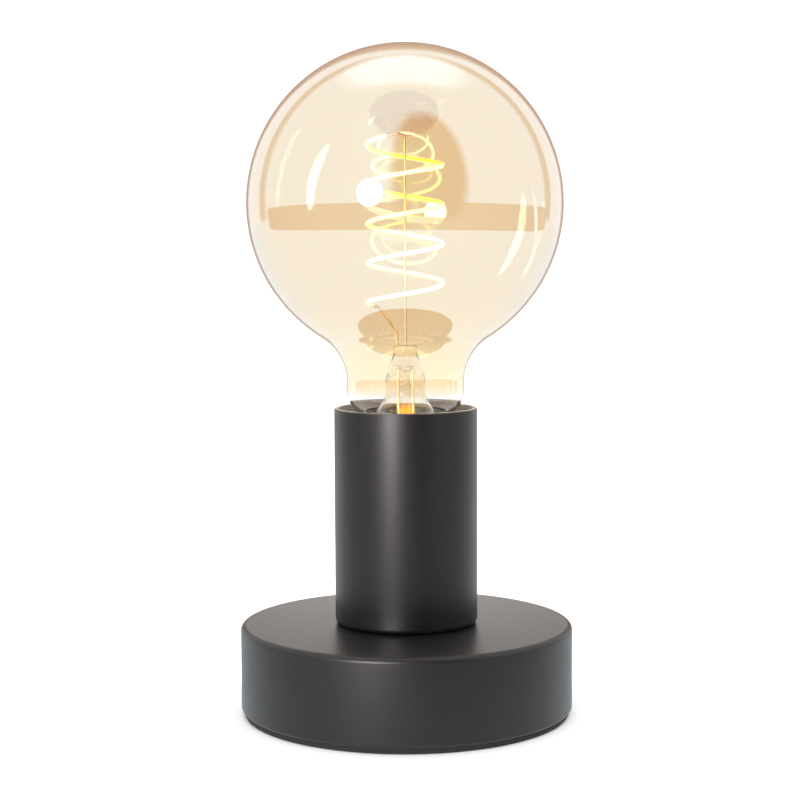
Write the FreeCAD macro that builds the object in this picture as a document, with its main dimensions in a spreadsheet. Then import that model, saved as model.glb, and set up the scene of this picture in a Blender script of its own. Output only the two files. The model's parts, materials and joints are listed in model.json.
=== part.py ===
import FreeCAD, Part
import math
import os
import re
import Sketcher

# A table lamp with a bare globe bulb: a round weighted base, a tube-shaped cup that hides an
# E27 lampholder, and a spiral-filament globe bulb. Millimetres, +Z up, origin on the table
# surface on the lamp's axis. The cable inlet is at the back, +Y.

V = FreeCAD.Vector

SIZES = {
    # foot pad and base
    "pad_thickness": 1.8,
    "pad_inset": 1.0,
    "base_radius": 50.5,
    "base_height": 27.4,
    "shell_wall": 1.2,
    "shell_top_rounding": 1.65,
    "shell_foot_rounding": 0.8,
    "plate_thickness": 2.0,
    "plate_gap": 0.2,
    # cast weight with its screwed legs
    "weight_thickness": 8.0,
    "weight_gap": 1.8,
    "leg_radius": 5.0,
    "leg_inset": 4.5,
    "plate_screw_radius": 2.0,
    "plate_screw_length": 10.0,
    "plate_screw_head": 3.6,
    "screw_head_rim": 0.2,
    "slot_width": 0.9,
    "slot_depth": 0.9,
    "small_slot": 0.6,
    "screw_end_gap": 0.5,
    # nipple, nuts and washers on the lamp's axis
    "nipple_radius": 5.0,
    "nipple_bore": 3.6,
    "nipple_stub": 0.8,
    "nipple_reach": 1.0,
    "nipple_chamfer": 0.5,
    "washer_radius": 10.0,
    "washer_thickness": 1.0,
    "nut_flats": 14.0,
    "nut_thickness": 3.0,
    "nut_chamfer": 0.6,
    "thread_clearance": 0.05,
    "hole_clearance": 0.3,
    "fit_gap": 0.1,
    # socket cup
    "cup_radius": 21.65,
    "cup_height": 65.7,
    "cup_wall": 1.2,
    "cup_bottom_rounding": 1.8,
    "cup_rim_share": 0.4,
    # cable gland in the back wall
    "gland_radius": 4.5,
    "gland_bore": 3.3,
    "gland_flange_radius": 5.8,
    "gland_flange_thickness": 2.0,
    "gland_length": 12.0,
    "gland_nut_flats": 11.2,
    "gland_chamfer": 0.6,
    # terminal block under the weight
    "block_offset": 23.0,
    "block_width": 30.0,
    "block_depth": 17.0,
    "block_floor_gap": 3.4,
    "pole_pitch": 9.5,
    "insert_radius": 2.4,
    "insert_bore": 1.3,
    "insert_setback": 1.0,
    "entry_height": 4.8,
    "clamp_screw_radius": 1.3,
    "clamp_screw_head": 2.0,
    "clamp_head_height": 1.2,
    "clamp_screw_length": 2.7,
    "clamp_screw_place": 5.0,
    "block_screw_radius": 1.25,
    "block_screw_bite": 5.0,
    "block_screw_head": 2.25,
    "block_screw_head_height": 1.6,
    # leads
    "lead_radius": 1.1,
    "lead_spread": 1.7,
    "lead_bend": 3.6,
    "holder_lead_bend": 1.7,
    "lead_exit": 2.0,
    "lead_clearance": 0.4,
    "chamber_clearance": 1.2,
    # earth terminal
    "earth_place_x": 27.0,
    "earth_place_y": 4.0,
    "earth_ring_radius": 4.2,
    "earth_ring_thickness": 0.8,
    "earth_barrel_radius": 1.8,
    "earth_barrel_length": 6.0,
    "earth_screw_head": 3.6,
    "earth_screw_head_height": 2.6,
    "earth_screw_length": 6.0,
    # lampholder
    "boss_height": 6.4,
    "sleeve_height": 40.0,
    "holder_gap": 1.45,
    "holder_wall": 1.8,
    "holder_floor": 2.4,
    "boss_radius": 7.6,
    "cap_chamber": 9.0,
    "cap_bevel": 1.5,
    "cap_shoulder": 1.0,
    "cap_cove": 2.0,
    "spigot_height": 7.0,
    "sleeve_skirt": 12.0,
    "sleeve_shoulder": 3.0,
    "sleeve_wall": 2.4,
    "sleeve_rim_share": 0.3,
    "insert_flange": 2.2,
    "insert_rise": 6.0,
    "insert_depth": 5.0,
    "set_screw_radius": 1.5,
    "set_screw_point": 0.6,
    "set_screw_rise": 2.0,
    "strip_thickness": 0.8,
    "strip_width": 5.0,
    "terminal_gap": 2.2,
    "terminal_width": 5.4,
    "terminal_height": 4.6,
    "rivet_radius": 1.2,
    "rivet_head": 0.3,
    "holder_screw_radius": 1.4,
    "holder_screw_head": 2.1,
    "holder_screw_head_height": 1.4,
    # centre contact and its spring
    "plunger_radius": 3.3,
    "plunger_flange": 3.95,
    "plunger_flange_thickness": 1.2,
    "plunger_lift": 2.95,
    "plunger_dome": 0.7,
    "plunger_slack": 0.3,
    "contact_washer_radius": 6.4,
    "contact_washer_thickness": 0.8,
    "spring_wire": 0.25,
    "spring_radius": 2.9,
    "spring_turns": 5,
    "spring_seat": 2.5,
    "spring_end_gap": 0.05,
    # screw thread shared by the bulb and the lampholder
    "thread_pitch": 3.629,
    "thread_radius": 12.6,
    "thread_throw": 0.55,
    "thread_fit": 0.3,
    "sheet_metal": 0.3,
    "shell_floor_hole": 5.4,
    "shell_lip": 4.6,
    "shell_flare": 0.6,
    "thread_start": 2.6,
    # bulb cap
    "tip_radius": 4.9,
    "tip_height": 1.7,
    "tip_rim": 0.7,
    "tip_gap": 0.15,
    "insulator_height": 2.6,
    "insulator_radius": 11.0,
    "insulator_plug": 2.0,
    "insulator_rim": 0.4,
    "cap_thread_height": 15.6,
    "thread_runout": 0.9,
    "cap_height": 22.2,
    "skirt_radius": 13.3,
    # bulb glass
    "globe_radius": 47.5,
    "glass_wall": 0.8,
    "neck_radius": 17.7,
    "neck_blend": 16.0,
    "shoulder_radius": 8.0,
    "neck_seat": 0.3,
    "neck_length": 2.6,
    "collar_depth": 5.0,
    # stem, post and spiral filament
    "stem_gap": 10.3,
    "stem_lip": 1.5,
    "stem_flare": 10.4,
    "stem_radius": 6.0,
    "stem_shoulder": 16.7,
    "stem_waist": 27.0,
    "stem_tip": 3.6,
    "stem_tip_bevel": 0.6,
    "exhaust_radius": 1.7,
    "exhaust_bore": 1.0,
    "exhaust_tip": 0.8,
    "exhaust_clearance": 1.5,
    "press_height": 8.0,
    "wire_radius": 0.4,
    "filament_drop": 30.8,
    "filament_radius": 0.95,
    "coil_radius": 11.3,
    "coil_pitch": 12.1,
    "coil_quarters": 17,
    "coil_start_angle": 152.0,
    "tab_length": 2.4,
    "tab_radius": 0.6,
    "hook_reach": 1.5,
    "hook_bend": 0.7,
    "lead_rise": 2.5,
    "lead_aside": 2.5,
    # driver in the bulb's cap
    "board_width": 17.0,
    "board_height": 14.0,
    "board_thickness": 1.2,
    "capacitor_radius": 3.2,
    "capacitor_length": 9.0,
    "choke_radius": 2.6,
    "choke_length": 6.0,
    "rectifier_size": 4.8,
    "component_lift": 1.5,
}

doc = FreeCAD.newDocument("table_lamp")
dims = doc.addObject("Spreadsheet::Sheet", "dims")
for row, (alias, number) in enumerate(SIZES.items(), start=1):
    dims.set(f"A{row}", alias)
    dims.set(f"B{row}", str(number))
    dims.setAlias(f"B{row}", alias)
doc.recompute()

# Levels on the lamp's axis, from the table upwards.
PLATE_TOP = "(pad_thickness + plate_thickness)"
CEILING = "(base_height - shell_wall)"
WEIGHT_UNDERSIDE = f"({CEILING} - weight_thickness)"
LOWER_NUT_TOP = f"({WEIGHT_UNDERSIDE} - washer_thickness)"
GLAND_HEIGHT = f"(({PLATE_TOP} + {WEIGHT_UNDERSIDE}) / 2)"
BLOCK_FOOT = f"({PLATE_TOP} + block_floor_gap)"
ENTRY = f"({BLOCK_FOOT} + entry_height)"
NIPPLE_FOOT = f"({LOWER_NUT_TOP} - nut_thickness - nipple_stub)"
CUP_FLOOR_TOP = "(base_height + cup_wall)"
UPPER_NUT_FOOT = f"({CUP_FLOOR_TOP} + washer_thickness)"
BOSS_FOOT = f"({UPPER_NUT_FOOT} + nut_thickness)"
CHAMBER_FLOOR = f"({BOSS_FOOT} + boss_height)"
SLEEVE_FOOT = f"({CHAMBER_FLOOR} + cap_chamber)"
SLEEVE_TOP = f"({SLEEVE_FOOT} + sleeve_height)"
NIPPLE_TOP = f"({CHAMBER_FLOOR} + nipple_reach)"
SPIGOT_TOP = f"({SLEEVE_FOOT} + spigot_height)"
INSERT_FOOT = f"({SPIGOT_TOP} - insert_depth)"
INSERT_TOP = f"({SPIGOT_TOP} + insert_rise)"
TIP = f"({INSERT_TOP} + plunger_lift + tip_gap)"
INSULATOR_FOOT = f"({TIP} + tip_height)"
CAP_FOOT = f"({INSULATOR_FOOT} + insulator_height)"
CAP_TOP = f"({CAP_FOOT} + cap_height)"
COLLAR = "(skirt_radius - sheet_metal - fit_gap)"
SHOULDER_ACROSS = "(neck_radius - shoulder_radius)"
SHOULDER_CENTRE = (f"({CAP_TOP} + neck_seat"
                   f" + sqrt(shoulder_radius^2 - ({COLLAR} - {SHOULDER_ACROSS})^2))")
BLEND_CENTRE = f"({SHOULDER_CENTRE} + neck_length)"
BLEND_FAR = "(globe_radius + neck_blend)"
BLEND_ACROSS = "(neck_radius + neck_blend)"
BLEND_DROP = f"sqrt({BLEND_FAR}^2 - {BLEND_ACROSS}^2)"
GLOBE_CENTRE = f"({BLEND_CENTRE} + {BLEND_DROP})"
STEM_FOOT = f"({CAP_TOP} - collar_depth)"
FILAMENT_FOOT = f"({GLOBE_CENTRE} - filament_drop)"
STEM_TOP = f"({FILAMENT_FOOT} - stem_gap)"
HOLDER_RADIUS = "(cup_radius - cup_wall - holder_gap)"
HOLDER_INSIDE = f"({HOLDER_RADIUS} - holder_wall)"
SPIGOT_INSIDE = f"({HOLDER_INSIDE} - holder_wall)"
TERMINAL_REACH = f"({SPIGOT_INSIDE} - terminal_gap - terminal_width / 2)"
HOLDER_BORE = "(thread_radius + thread_throw + thread_fit + sheet_metal + fit_gap)"
WEIGHT_RADIUS = "(base_radius - shell_wall - weight_gap)"
LEG_CIRCLE = f"({WEIGHT_RADIUS} - leg_radius - leg_inset)"
NUT_CORNER = "(nut_flats / sqrt(3))"

# How far a cutting shape runs past the face that it cuts.
PAST = "1"

parts = []


def bound(text):
    """An expression in which each size's name reads its cell of the sheet."""
    return re.sub(r"[a-z]\w*", lambda word: f"dims.{word[0]}" if word[0] in SIZES else word[0], text)


def size(text):
    """The number that an expression on the sheet's sizes comes to."""
    return float(dims.evalExpression(bound(text)))


def bind(thing, prop, text):
    """Tie a property to an expression on the sheet's sizes."""
    thing.setExpression(prop, bound(text))


def place(thing, x="0", y="0", z="0", turn=None):
    """Stand an object at a point given by expressions, turned first if need be."""
    if turn:
        thing.Placement = FreeCAD.Placement(V(0, 0, 0), turn)
    for axis, text in zip("xyz", (x, y, z)):
        if text != "0":
            bind(thing, f"Placement.Base.{axis}", text)
    return thing


def sub_part(thing, label):
    """Keep an object as one of the lamp's named pieces."""
    thing.Label = label
    parts.append(thing)
    return thing


ALONG_Y = FreeCAD.Rotation(V(0, 0, 1), V(0, 1, 0))
ALONG_MINUS_Y = FreeCAD.Rotation(V(0, 0, 1), V(0, -1, 0))
ALONG_X = FreeCAD.Rotation(V(0, 0, 1), V(1, 0, 0))
HANGING = FreeCAD.Rotation(V(1, 0, 0), 180)


def cylinder(name, radius, height, x="0", y="0", z="0", turn=None):
    thing = doc.addObject("Part::Cylinder", name)
    bind(thing, "Radius", radius)
    bind(thing, "Height", height)
    return place(thing, x, y, z, turn)


def box(name, length, width, height, x="0", y="0", z="0"):
    """A box centred on x and y that stands on z."""
    thing = doc.addObject("Part::Box", name)
    bind(thing, "Length", length)
    bind(thing, "Width", width)
    bind(thing, "Height", height)
    return place(thing, f"{x} - ({length}) / 2", f"{y} - ({width}) / 2", z)


def hexagon(name, flats, height, z="0", y="0", turn=None):
    thing = doc.addObject("Part::Prism", name)
    thing.Polygon = 6
    bind(thing, "Circumradius", f"{flats} / sqrt(3)")
    bind(thing, "Height", height)
    return place(thing, "0", y, z, turn)


def cut(name, base, tool):
    thing = doc.addObject("Part::Cut", name)
    thing.Base = base
    thing.Tool = tool
    return thing


def fuse(name, *things):
    thing = doc.addObject("Part::MultiFuse", name)
    thing.Shapes = list(things)
    return thing


def group(name, things):
    """Alike pieces as one node of separate solids."""
    thing = doc.addObject("Part::Compound", name)
    thing.Links = list(things)
    return thing


def origin_plane(body, role):
    return next(plane for plane in body.Origin.OriginFeatures if plane.Role == role)


def sketch_on(body, role, name):
    sketch = body.newObject("Sketcher::SketchObject", name)
    sketch.AttachmentSupport = [(origin_plane(body, role), "")]
    sketch.MapMode = "FlatFace"
    return sketch


def arc_centre(start, end, radius, left):
    """The centre of an arc of under half a circle that turns left or right from start to end."""
    chord = end - start
    across = V(-chord.y, chord.x, 0).normalize()
    rise = math.sqrt(max(radius ** 2 - (chord.Length / 2) ** 2, 0))
    return (start + end) / 2 + across * (rise if left else -rise)


def arc_edge(start, end, radius, left):
    centre = arc_centre(start, end, radius, left)
    first, last = (start, end) if left else (end, start)
    angles = [math.atan2(point.y - centre.y, point.x - centre.x) for point in (first, last)]
    return Part.ArcOfCircle(Part.Circle(centre, V(0, 0, 1), radius), *angles)


def hold_point(sketch, curve, end, across, up):
    """Tie a curve's end to its two expressions in the sketch."""
    point = sketch.getPoint(curve, end)
    for kind, text, value, axis in (("DistanceX", across, point.x, -2), ("DistanceY", up, point.y, -1)):
        if text == "0":
            sketch.addConstraint(Sketcher.Constraint("PointOnObject", curve, end, axis))
        else:
            index = sketch.addConstraint(Sketcher.Constraint(kind, -1, 1, curve, end, value))
            sketch.setExpression(f"Constraints[{index}]", bound(text))


def draw_outline(sketch, outline):
    """Draw a closed outline of (across, up) corners. A third entry is the radius of the arc that
    comes to the corner from the one before it, with + or - for an arc that turns left or right."""
    points = [V(size(corner[0]), size(corner[1]), 0) for corner in outline]
    ends = []
    for index, corner in enumerate(outline):
        start, end = points[index - 1], points[index]
        if len(corner) == 3:
            left = corner[2].startswith("+")
            radius = corner[2][1:]
            curve = sketch.addGeometry(arc_edge(start, end, size(radius), left), False)
            bound_radius = Sketcher.Constraint("Radius", curve, size(radius))
            sketch.setExpression(f"Constraints[{sketch.addConstraint(bound_radius)}]", bound(radius))
            ends.append((1, 2) if left else (2, 1))
        else:
            curve = sketch.addGeometry(Part.LineSegment(start, end), False)
            ends.append((1, 2))
        hold_point(sketch, curve, ends[-1][1], corner[0], corner[1])
    for index in range(len(outline)):
        before = index - 1 if index else len(outline) - 1
        sketch.addConstraint(
            Sketcher.Constraint("Coincident", before, ends[before][1], index, ends[index][0]))


def add_circle(sketch, x, y, radius):
    """A circle in a sketch, with its centre and radius tied to expressions."""
    sketch.addGeometry(Part.Circle(V(size(x), size(y), 0), V(0, 0, 1), size(radius)), False)
    hold_point(sketch, 0, 3, x, y)
    index = sketch.addConstraint(Sketcher.Constraint("Radius", 0, size(radius)))
    bind(sketch, f"Constraints[{index}]", radius)


def lathe(name, outline, x="0", y="0", z="0", turn=None):
    """A body turned about its own Z axis from an outline of (radius, height) corners."""
    body = doc.addObject("PartDesign::Body", name)
    sketch = sketch_on(body, "XZ_Plane", f"{name}_outline")
    draw_outline(sketch, outline)
    turned = body.newObject("PartDesign::Revolution", f"{name}_turned")
    turned.Profile = sketch
    turned.ReferenceAxis = (sketch, ["V_Axis"])
    turned.Angle = 360
    return place(body, x, y, z, turn)


def round_rims(body, radius, *rims):
    """Round the circular edges that lie at the given (radius, height) pairs."""
    doc.recompute()
    tip = body.Tip
    wanted = [(size(rim[0]), size(rim[1])) for rim in rims]
    names = []
    for index, edge in enumerate(tip.Shape.Edges, start=1):
        if not isinstance(edge.Curve, Part.Circle):
            continue
        for rim_radius, height in wanted:
            if abs(edge.Curve.Radius - rim_radius) < 1e-4 and abs(edge.Curve.Center.z - height) < 1e-4:
                names.append(f"Edge{index}")
    fillet = body.newObject("PartDesign::Fillet", f"{body.Name}_rounding")
    fillet.Base = (tip, names)
    bind(fillet, "Radius", radius)
    return fillet


def repeat_around(body, feature, name):
    """Repeat a feature three times about the body's Z axis."""
    pattern = body.newObject("PartDesign::PolarPattern", name)
    pattern.Originals = [feature]
    pattern.Axis = (origin_plane(body, "Z_Axis"), [""])
    pattern.Angle = 360
    pattern.Occurrences = 3
    body.Tip = pattern
    doc.recompute()


def ring(outer, inner, height):
    """The outline of a plain ring."""
    return [(inner, "0"), (outer, "0"), (outer, height), (inner, height)]


def arc_through(start, tangent, end):
    """The arc that leaves start along a tangent and comes to end."""
    chord = end - start
    half_turn = math.acos(max(-1.0, min(1.0, chord.dot(tangent) / chord.Length)))
    middle = (start + end) / 2
    outward = start + tangent * (chord.Length / 2 / math.cos(half_turn)) - middle
    sagitta = chord.Length / 2 * math.tan(half_turn / 2)
    return Part.Arc(start, middle + outward.normalize() * sagitta, end).toShape()


def biarc(start, start_tangent, end, end_tangent):
    """Two arcs that join two points, meeting smoothly and leaving along the given tangents."""
    chord = end - start
    both = start_tangent + end_tangent
    spread = 2 * (1 - start_tangent.dot(end_tangent))
    reach = (-chord.dot(both) + math.sqrt(chord.dot(both) ** 2 + spread * chord.dot(chord))) / spread
    meeting = (start + end + (start_tangent - end_tangent) * reach) / 2
    meeting_tangent = (meeting - start - start_tangent * reach).normalize()
    return [arc_through(start, start_tangent, meeting), arc_through(meeting, meeting_tangent, end)]


def helix_point(radius, pitch, start_angle, turn):
    """The place and the tangent on a right-handed helix after a number of turns."""
    angle = math.radians(start_angle) + 2 * math.pi * turn
    place_on = V(radius * math.cos(angle), radius * math.sin(angle), pitch * turn)
    tangent = V(-radius * math.sin(angle), radius * math.cos(angle), pitch / (2 * math.pi))
    return place_on, tangent.normalize()


def helix_path(radius, pitch, start_angle, quarters):
    """A helix as smooth arcs, two for each quarter turn."""
    edges = []
    for quarter in range(quarters):
        start, start_tangent = helix_point(radius, pitch, start_angle, quarter / 4)
        end, end_tangent = helix_point(radius, pitch, start_angle, (quarter + 1) / 4)
        edges += biarc(start, start_tangent, end, end_tangent)
    return edges


def bent_path(points, *bends):
    """Straight runs between points, joined by tangent arcs of the given radii, the last of which
    serves all the corners that are left."""
    edges = []
    leaving = points[0]
    corners = len(points) - 2
    bends = list(bends) + [bends[-1]] * (corners - len(bends))
    for before, corner, after, bend in zip(points, points[1:], points[2:], bends):
        back = (before - corner).normalize()
        ahead = (after - corner).normalize()
        half = back.getAngle(ahead) / 2
        setback = bend / math.tan(half)
        bisector = (back + ahead).normalize()
        entry = corner + back * setback
        middle = corner + bisector * (bend / math.sin(half) - bend)
        edges.append(Part.LineSegment(leaving, entry).toShape())
        edges.append(Part.Arc(entry, middle, corner + ahead * setback).toShape())
        leaving = corner + ahead * setback
    edges.append(Part.LineSegment(leaving, points[-1]).toShape())
    return edges


def tube(name, edges, radius, x="0", y="0", z="0"):
    """A round bar swept along a path of smooth edges."""
    path = doc.addObject("Part::Feature", f"{name}_path")
    path.Shape = Part.Wire(edges)
    start = edges[0].valueAt(edges[0].FirstParameter)
    tangent = edges[0].tangentAt(edges[0].FirstParameter)
    section = doc.addObject("Part::Circle", f"{name}_section")
    bind(section, "Radius", radius)
    section.Placement = FreeCAD.Placement(start, FreeCAD.Rotation(V(0, 0, 1), tangent))
    sweep = doc.addObject("Part::Sweep", name)
    sweep.Sections = [section]
    sweep.Spine = (path, [])
    sweep.Solid = True
    sweep.Frenet = False
    return place(sweep, x, y, z)


def least_gap(radius, pitch, quarters, wire):
    """The least clear distance between two turns of a helix, measured on points."""
    points = [helix_point(radius, pitch, 0, quarters / 4 * k / 600)[0] for k in range(601)]
    half_turn = int(600 / (quarters / 4) / 2)
    return min((a - b).Length for i, a in enumerate(points) for b in points[i + half_turn:]) - 2 * wire


# ---------------------------------------------------------------- base

def make_foot_pad():
    """The soft pad under the base plate, set in from the shell's edge."""
    sub_part(lathe("foot_pad", [("0", "0"), ("base_radius - pad_inset", "0"),
                                ("base_radius - pad_inset", "pad_thickness"),
                                ("0", "pad_thickness")]), "foot_pad")


def make_base_shell():
    """The spun shell of the base, open below, with a nipple hole on top and a gland hole behind."""
    wall_height = "(base_height - pad_thickness)"
    inside = "(base_radius - shell_wall)"
    hole = "(nipple_radius + hole_clearance)"
    body = lathe("base_shell", [
        (inside, "0"),
        ("base_radius", "0"),
        ("base_radius", wall_height),
        (hole, wall_height),
        (hole, f"{wall_height} - shell_wall"),
        (inside, f"{wall_height} - shell_wall"),
    ], z="pad_thickness")
    round_rims(body, "shell_top_rounding", ("base_radius", wall_height))
    round_rims(body, "shell_foot_rounding", ("base_radius", "0"))
    doc.recompute()
    whole = body.Shape.Volume
    sketch = sketch_on(body, "XZ_Plane", "gland_hole_outline")
    add_circle(sketch, "0", f"{GLAND_HEIGHT} - pad_thickness", "gland_radius + fit_gap")
    hole_cut = body.newObject("PartDesign::Pocket", "gland_hole")
    hole_cut.Profile = sketch
    bind(hole_cut, "Length", "base_radius + shell_wall")
    doc.recompute()
    removed = whole - body.Shape.Volume
    expected = math.pi * size("gland_radius + fit_gap") ** 2 * size("shell_wall")
    print(f"gland hole removes {removed:.1f} mm3 of about {expected:.1f}")
    sub_part(body, "base_shell")


def leg_places():
    """The expressions for the three screwed legs, one in front and two behind."""
    return [(f"{LEG_CIRCLE} * cos({angle})", f"{LEG_CIRCLE} * sin({angle})") for angle in (270, 30, 150)]


def screw_outline(thread, length, head, grow="0"):
    """A countersunk screw standing on its head, its head face at height 0."""
    return [
        ("0", "0"),
        (f"{head} + {grow}", "0"),
        (f"{head} + {grow}", "screw_head_rim"),
        (f"{thread} + {grow}", f"{head} - {thread} + screw_head_rim"),
        (f"{thread} + {grow}", length),
        ("0", length),
    ]


def make_base_plate():
    """The steel closing plate, countersunk for its three screws."""
    disc = lathe("plate_disc", [
        ("0", "0"),
        ("base_radius - shell_wall - plate_gap", "0"),
        ("base_radius - shell_wall - plate_gap", "plate_thickness"),
        ("0", "plate_thickness"),
    ], z="pad_thickness")
    sinks = []
    screws = []
    for number, (x, y) in enumerate(leg_places(), start=1):
        sinks.append(lathe(f"plate_countersink_{number}", screw_outline(
            "plate_screw_radius", "plate_screw_length", "plate_screw_head", "fit_gap"),
            x, y, "pad_thickness"))
        blank = lathe(f"plate_screw_blank_{number}", screw_outline(
            "plate_screw_radius", "plate_screw_length", "plate_screw_head"), x, y, "pad_thickness")
        slot = box(f"plate_screw_slot_{number}", f"2 * plate_screw_head + {PAST}", "slot_width",
                   "slot_depth", x, y, "pad_thickness")
        screws.append(cut(f"plate_screw_{number}", blank, slot))
    sub_part(cut("base_plate", disc, fuse("plate_countersinks", *sinks)), "base_plate")
    sub_part(group("base_plate_screws", screws), "base_plate_screws")


def make_base_weight():
    """The cast weight: a disc against the shell's ceiling on three tapped legs."""
    rise = f"({WEIGHT_UNDERSIDE} - {PLATE_TOP})"
    hole = "(nipple_radius + hole_clearance)"
    body = lathe("weight_casting", [
        (hole, rise),
        (WEIGHT_RADIUS, rise),
        (WEIGHT_RADIUS, f"{rise} + weight_thickness"),
        (hole, f"{rise} + weight_thickness"),
    ], z=PLATE_TOP)
    leg_sketch = sketch_on(body, "XY_Plane", "leg_outline")
    add_circle(leg_sketch, "0", f"-{LEG_CIRCLE}", "leg_radius")
    leg = body.newObject("PartDesign::Pad", "leg")
    leg.Profile = leg_sketch
    bind(leg, "Length", f"{rise} + weight_thickness / 2")
    repeat_around(body, leg, "legs")
    before = body.Shape.Volume
    tap_sketch = sketch_on(body, "XY_Plane", "leg_tap_outline")
    add_circle(tap_sketch, "0", f"-{LEG_CIRCLE}", "plate_screw_radius + thread_clearance")
    tap = body.newObject("PartDesign::Pocket", "leg_tap")
    tap.Profile = tap_sketch
    tap.Reversed = True
    bind(tap, "Length", "plate_screw_length")
    repeat_around(body, tap, "leg_taps")
    print(f"three taps remove {before - body.Shape.Volume:.1f} mm3")
    holes = [cylinder("earth_tap", "plate_screw_radius + thread_clearance", "earth_screw_length",
                      "earth_place_x", "earth_place_y", WEIGHT_UNDERSIDE)]
    for number, side in enumerate((-1, 1), start=1):
        holes.append(cylinder(f"block_tap_{number}", "block_screw_radius + thread_clearance",
                              "block_screw_bite", f"{side} * pole_pitch / 2", "block_offset",
                              WEIGHT_UNDERSIDE))
    sub_part(cut("weight", body, fuse("weight_taps", *holes)), "base_weight")


def make_nipple_stack():
    """The threaded nipple with its washers and nuts, which clamps base and cup together."""
    length = f"({NIPPLE_TOP} - {NIPPLE_FOOT})"
    nipple = lathe("nipple", [
        ("nipple_bore", "0"),
        ("nipple_radius - nipple_chamfer", "0"),
        ("nipple_radius", "nipple_chamfer"),
        ("nipple_radius", f"{length} - nipple_chamfer"),
        ("nipple_radius - nipple_chamfer", length),
        ("nipple_bore", length),
    ], z=NIPPLE_FOOT)
    sub_part(nipple, "threaded_nipple")
    through = "nipple_radius + hole_clearance"
    tapped = "nipple_radius + thread_clearance"
    washer = ring("washer_radius", through, "washer_thickness")
    sub_part(lathe("lower_washer", washer, z=LOWER_NUT_TOP), "lower_washer")
    sub_part(lathe("upper_washer", washer, z=CUP_FLOOR_TOP), "upper_washer")
    crown_rim = f"({NUT_CORNER} - nut_chamfer)"
    for name, foot in (("lower_nut", f"{LOWER_NUT_TOP} - nut_thickness"), ("upper_nut", UPPER_NUT_FOOT)):
        crown = lathe(f"{name}_crown", [
            ("0", "0"), (crown_rim, "0"), (NUT_CORNER, "nut_chamfer"),
            (NUT_CORNER, "nut_thickness - nut_chamfer"), (crown_rim, "nut_thickness"),
            ("0", "nut_thickness")], z=foot)
        blank = hexagon(f"{name}_blank", "nut_flats", "nut_thickness", foot)
        rounded = doc.addObject("Part::MultiCommon", f"{name}_rounded")
        rounded.Shapes = [crown, blank]
        bore = cylinder(f"{name}_bore", tapped, "nut_thickness", z=foot)
        sub_part(cut(name, rounded, bore), name)


def make_cable_gland():
    """The hollow gland in the back wall and its nut inside."""
    face = "(gland_length + gland_flange_thickness)"
    gland = lathe("gland", [
        ("gland_bore", "0"),
        ("gland_radius", "0"),
        ("gland_radius", "gland_length"),
        ("gland_flange_radius", "gland_length"),
        ("gland_flange_radius", f"{face} - gland_chamfer"),
        ("gland_flange_radius - gland_chamfer", face),
        ("gland_bore + gland_chamfer", face),
        ("gland_bore", f"{face} - gland_chamfer"),
    ], y="base_radius - gland_length", z=GLAND_HEIGHT, turn=ALONG_Y)
    sub_part(gland, "cable_gland")
    corner = "(gland_nut_flats / sqrt(3))"
    nut_foot = f"(sqrt((base_radius - shell_wall)^2 - {corner}^2) - nut_thickness)"
    blank = hexagon("gland_nut_blank", "gland_nut_flats", "nut_thickness", GLAND_HEIGHT,
                    nut_foot, ALONG_Y)
    bore = cylinder("gland_nut_bore", "gland_radius + thread_clearance", "nut_thickness",
                    "0", nut_foot, GLAND_HEIGHT, ALONG_Y)
    sub_part(cut("gland_nut", blank, bore), "gland_nut")


# ---------------------------------------------------------------- wiring in the base

def poles():
    return [(number, f"{number - 2} * pole_pitch") for number in (1, 2, 3)]


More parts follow.
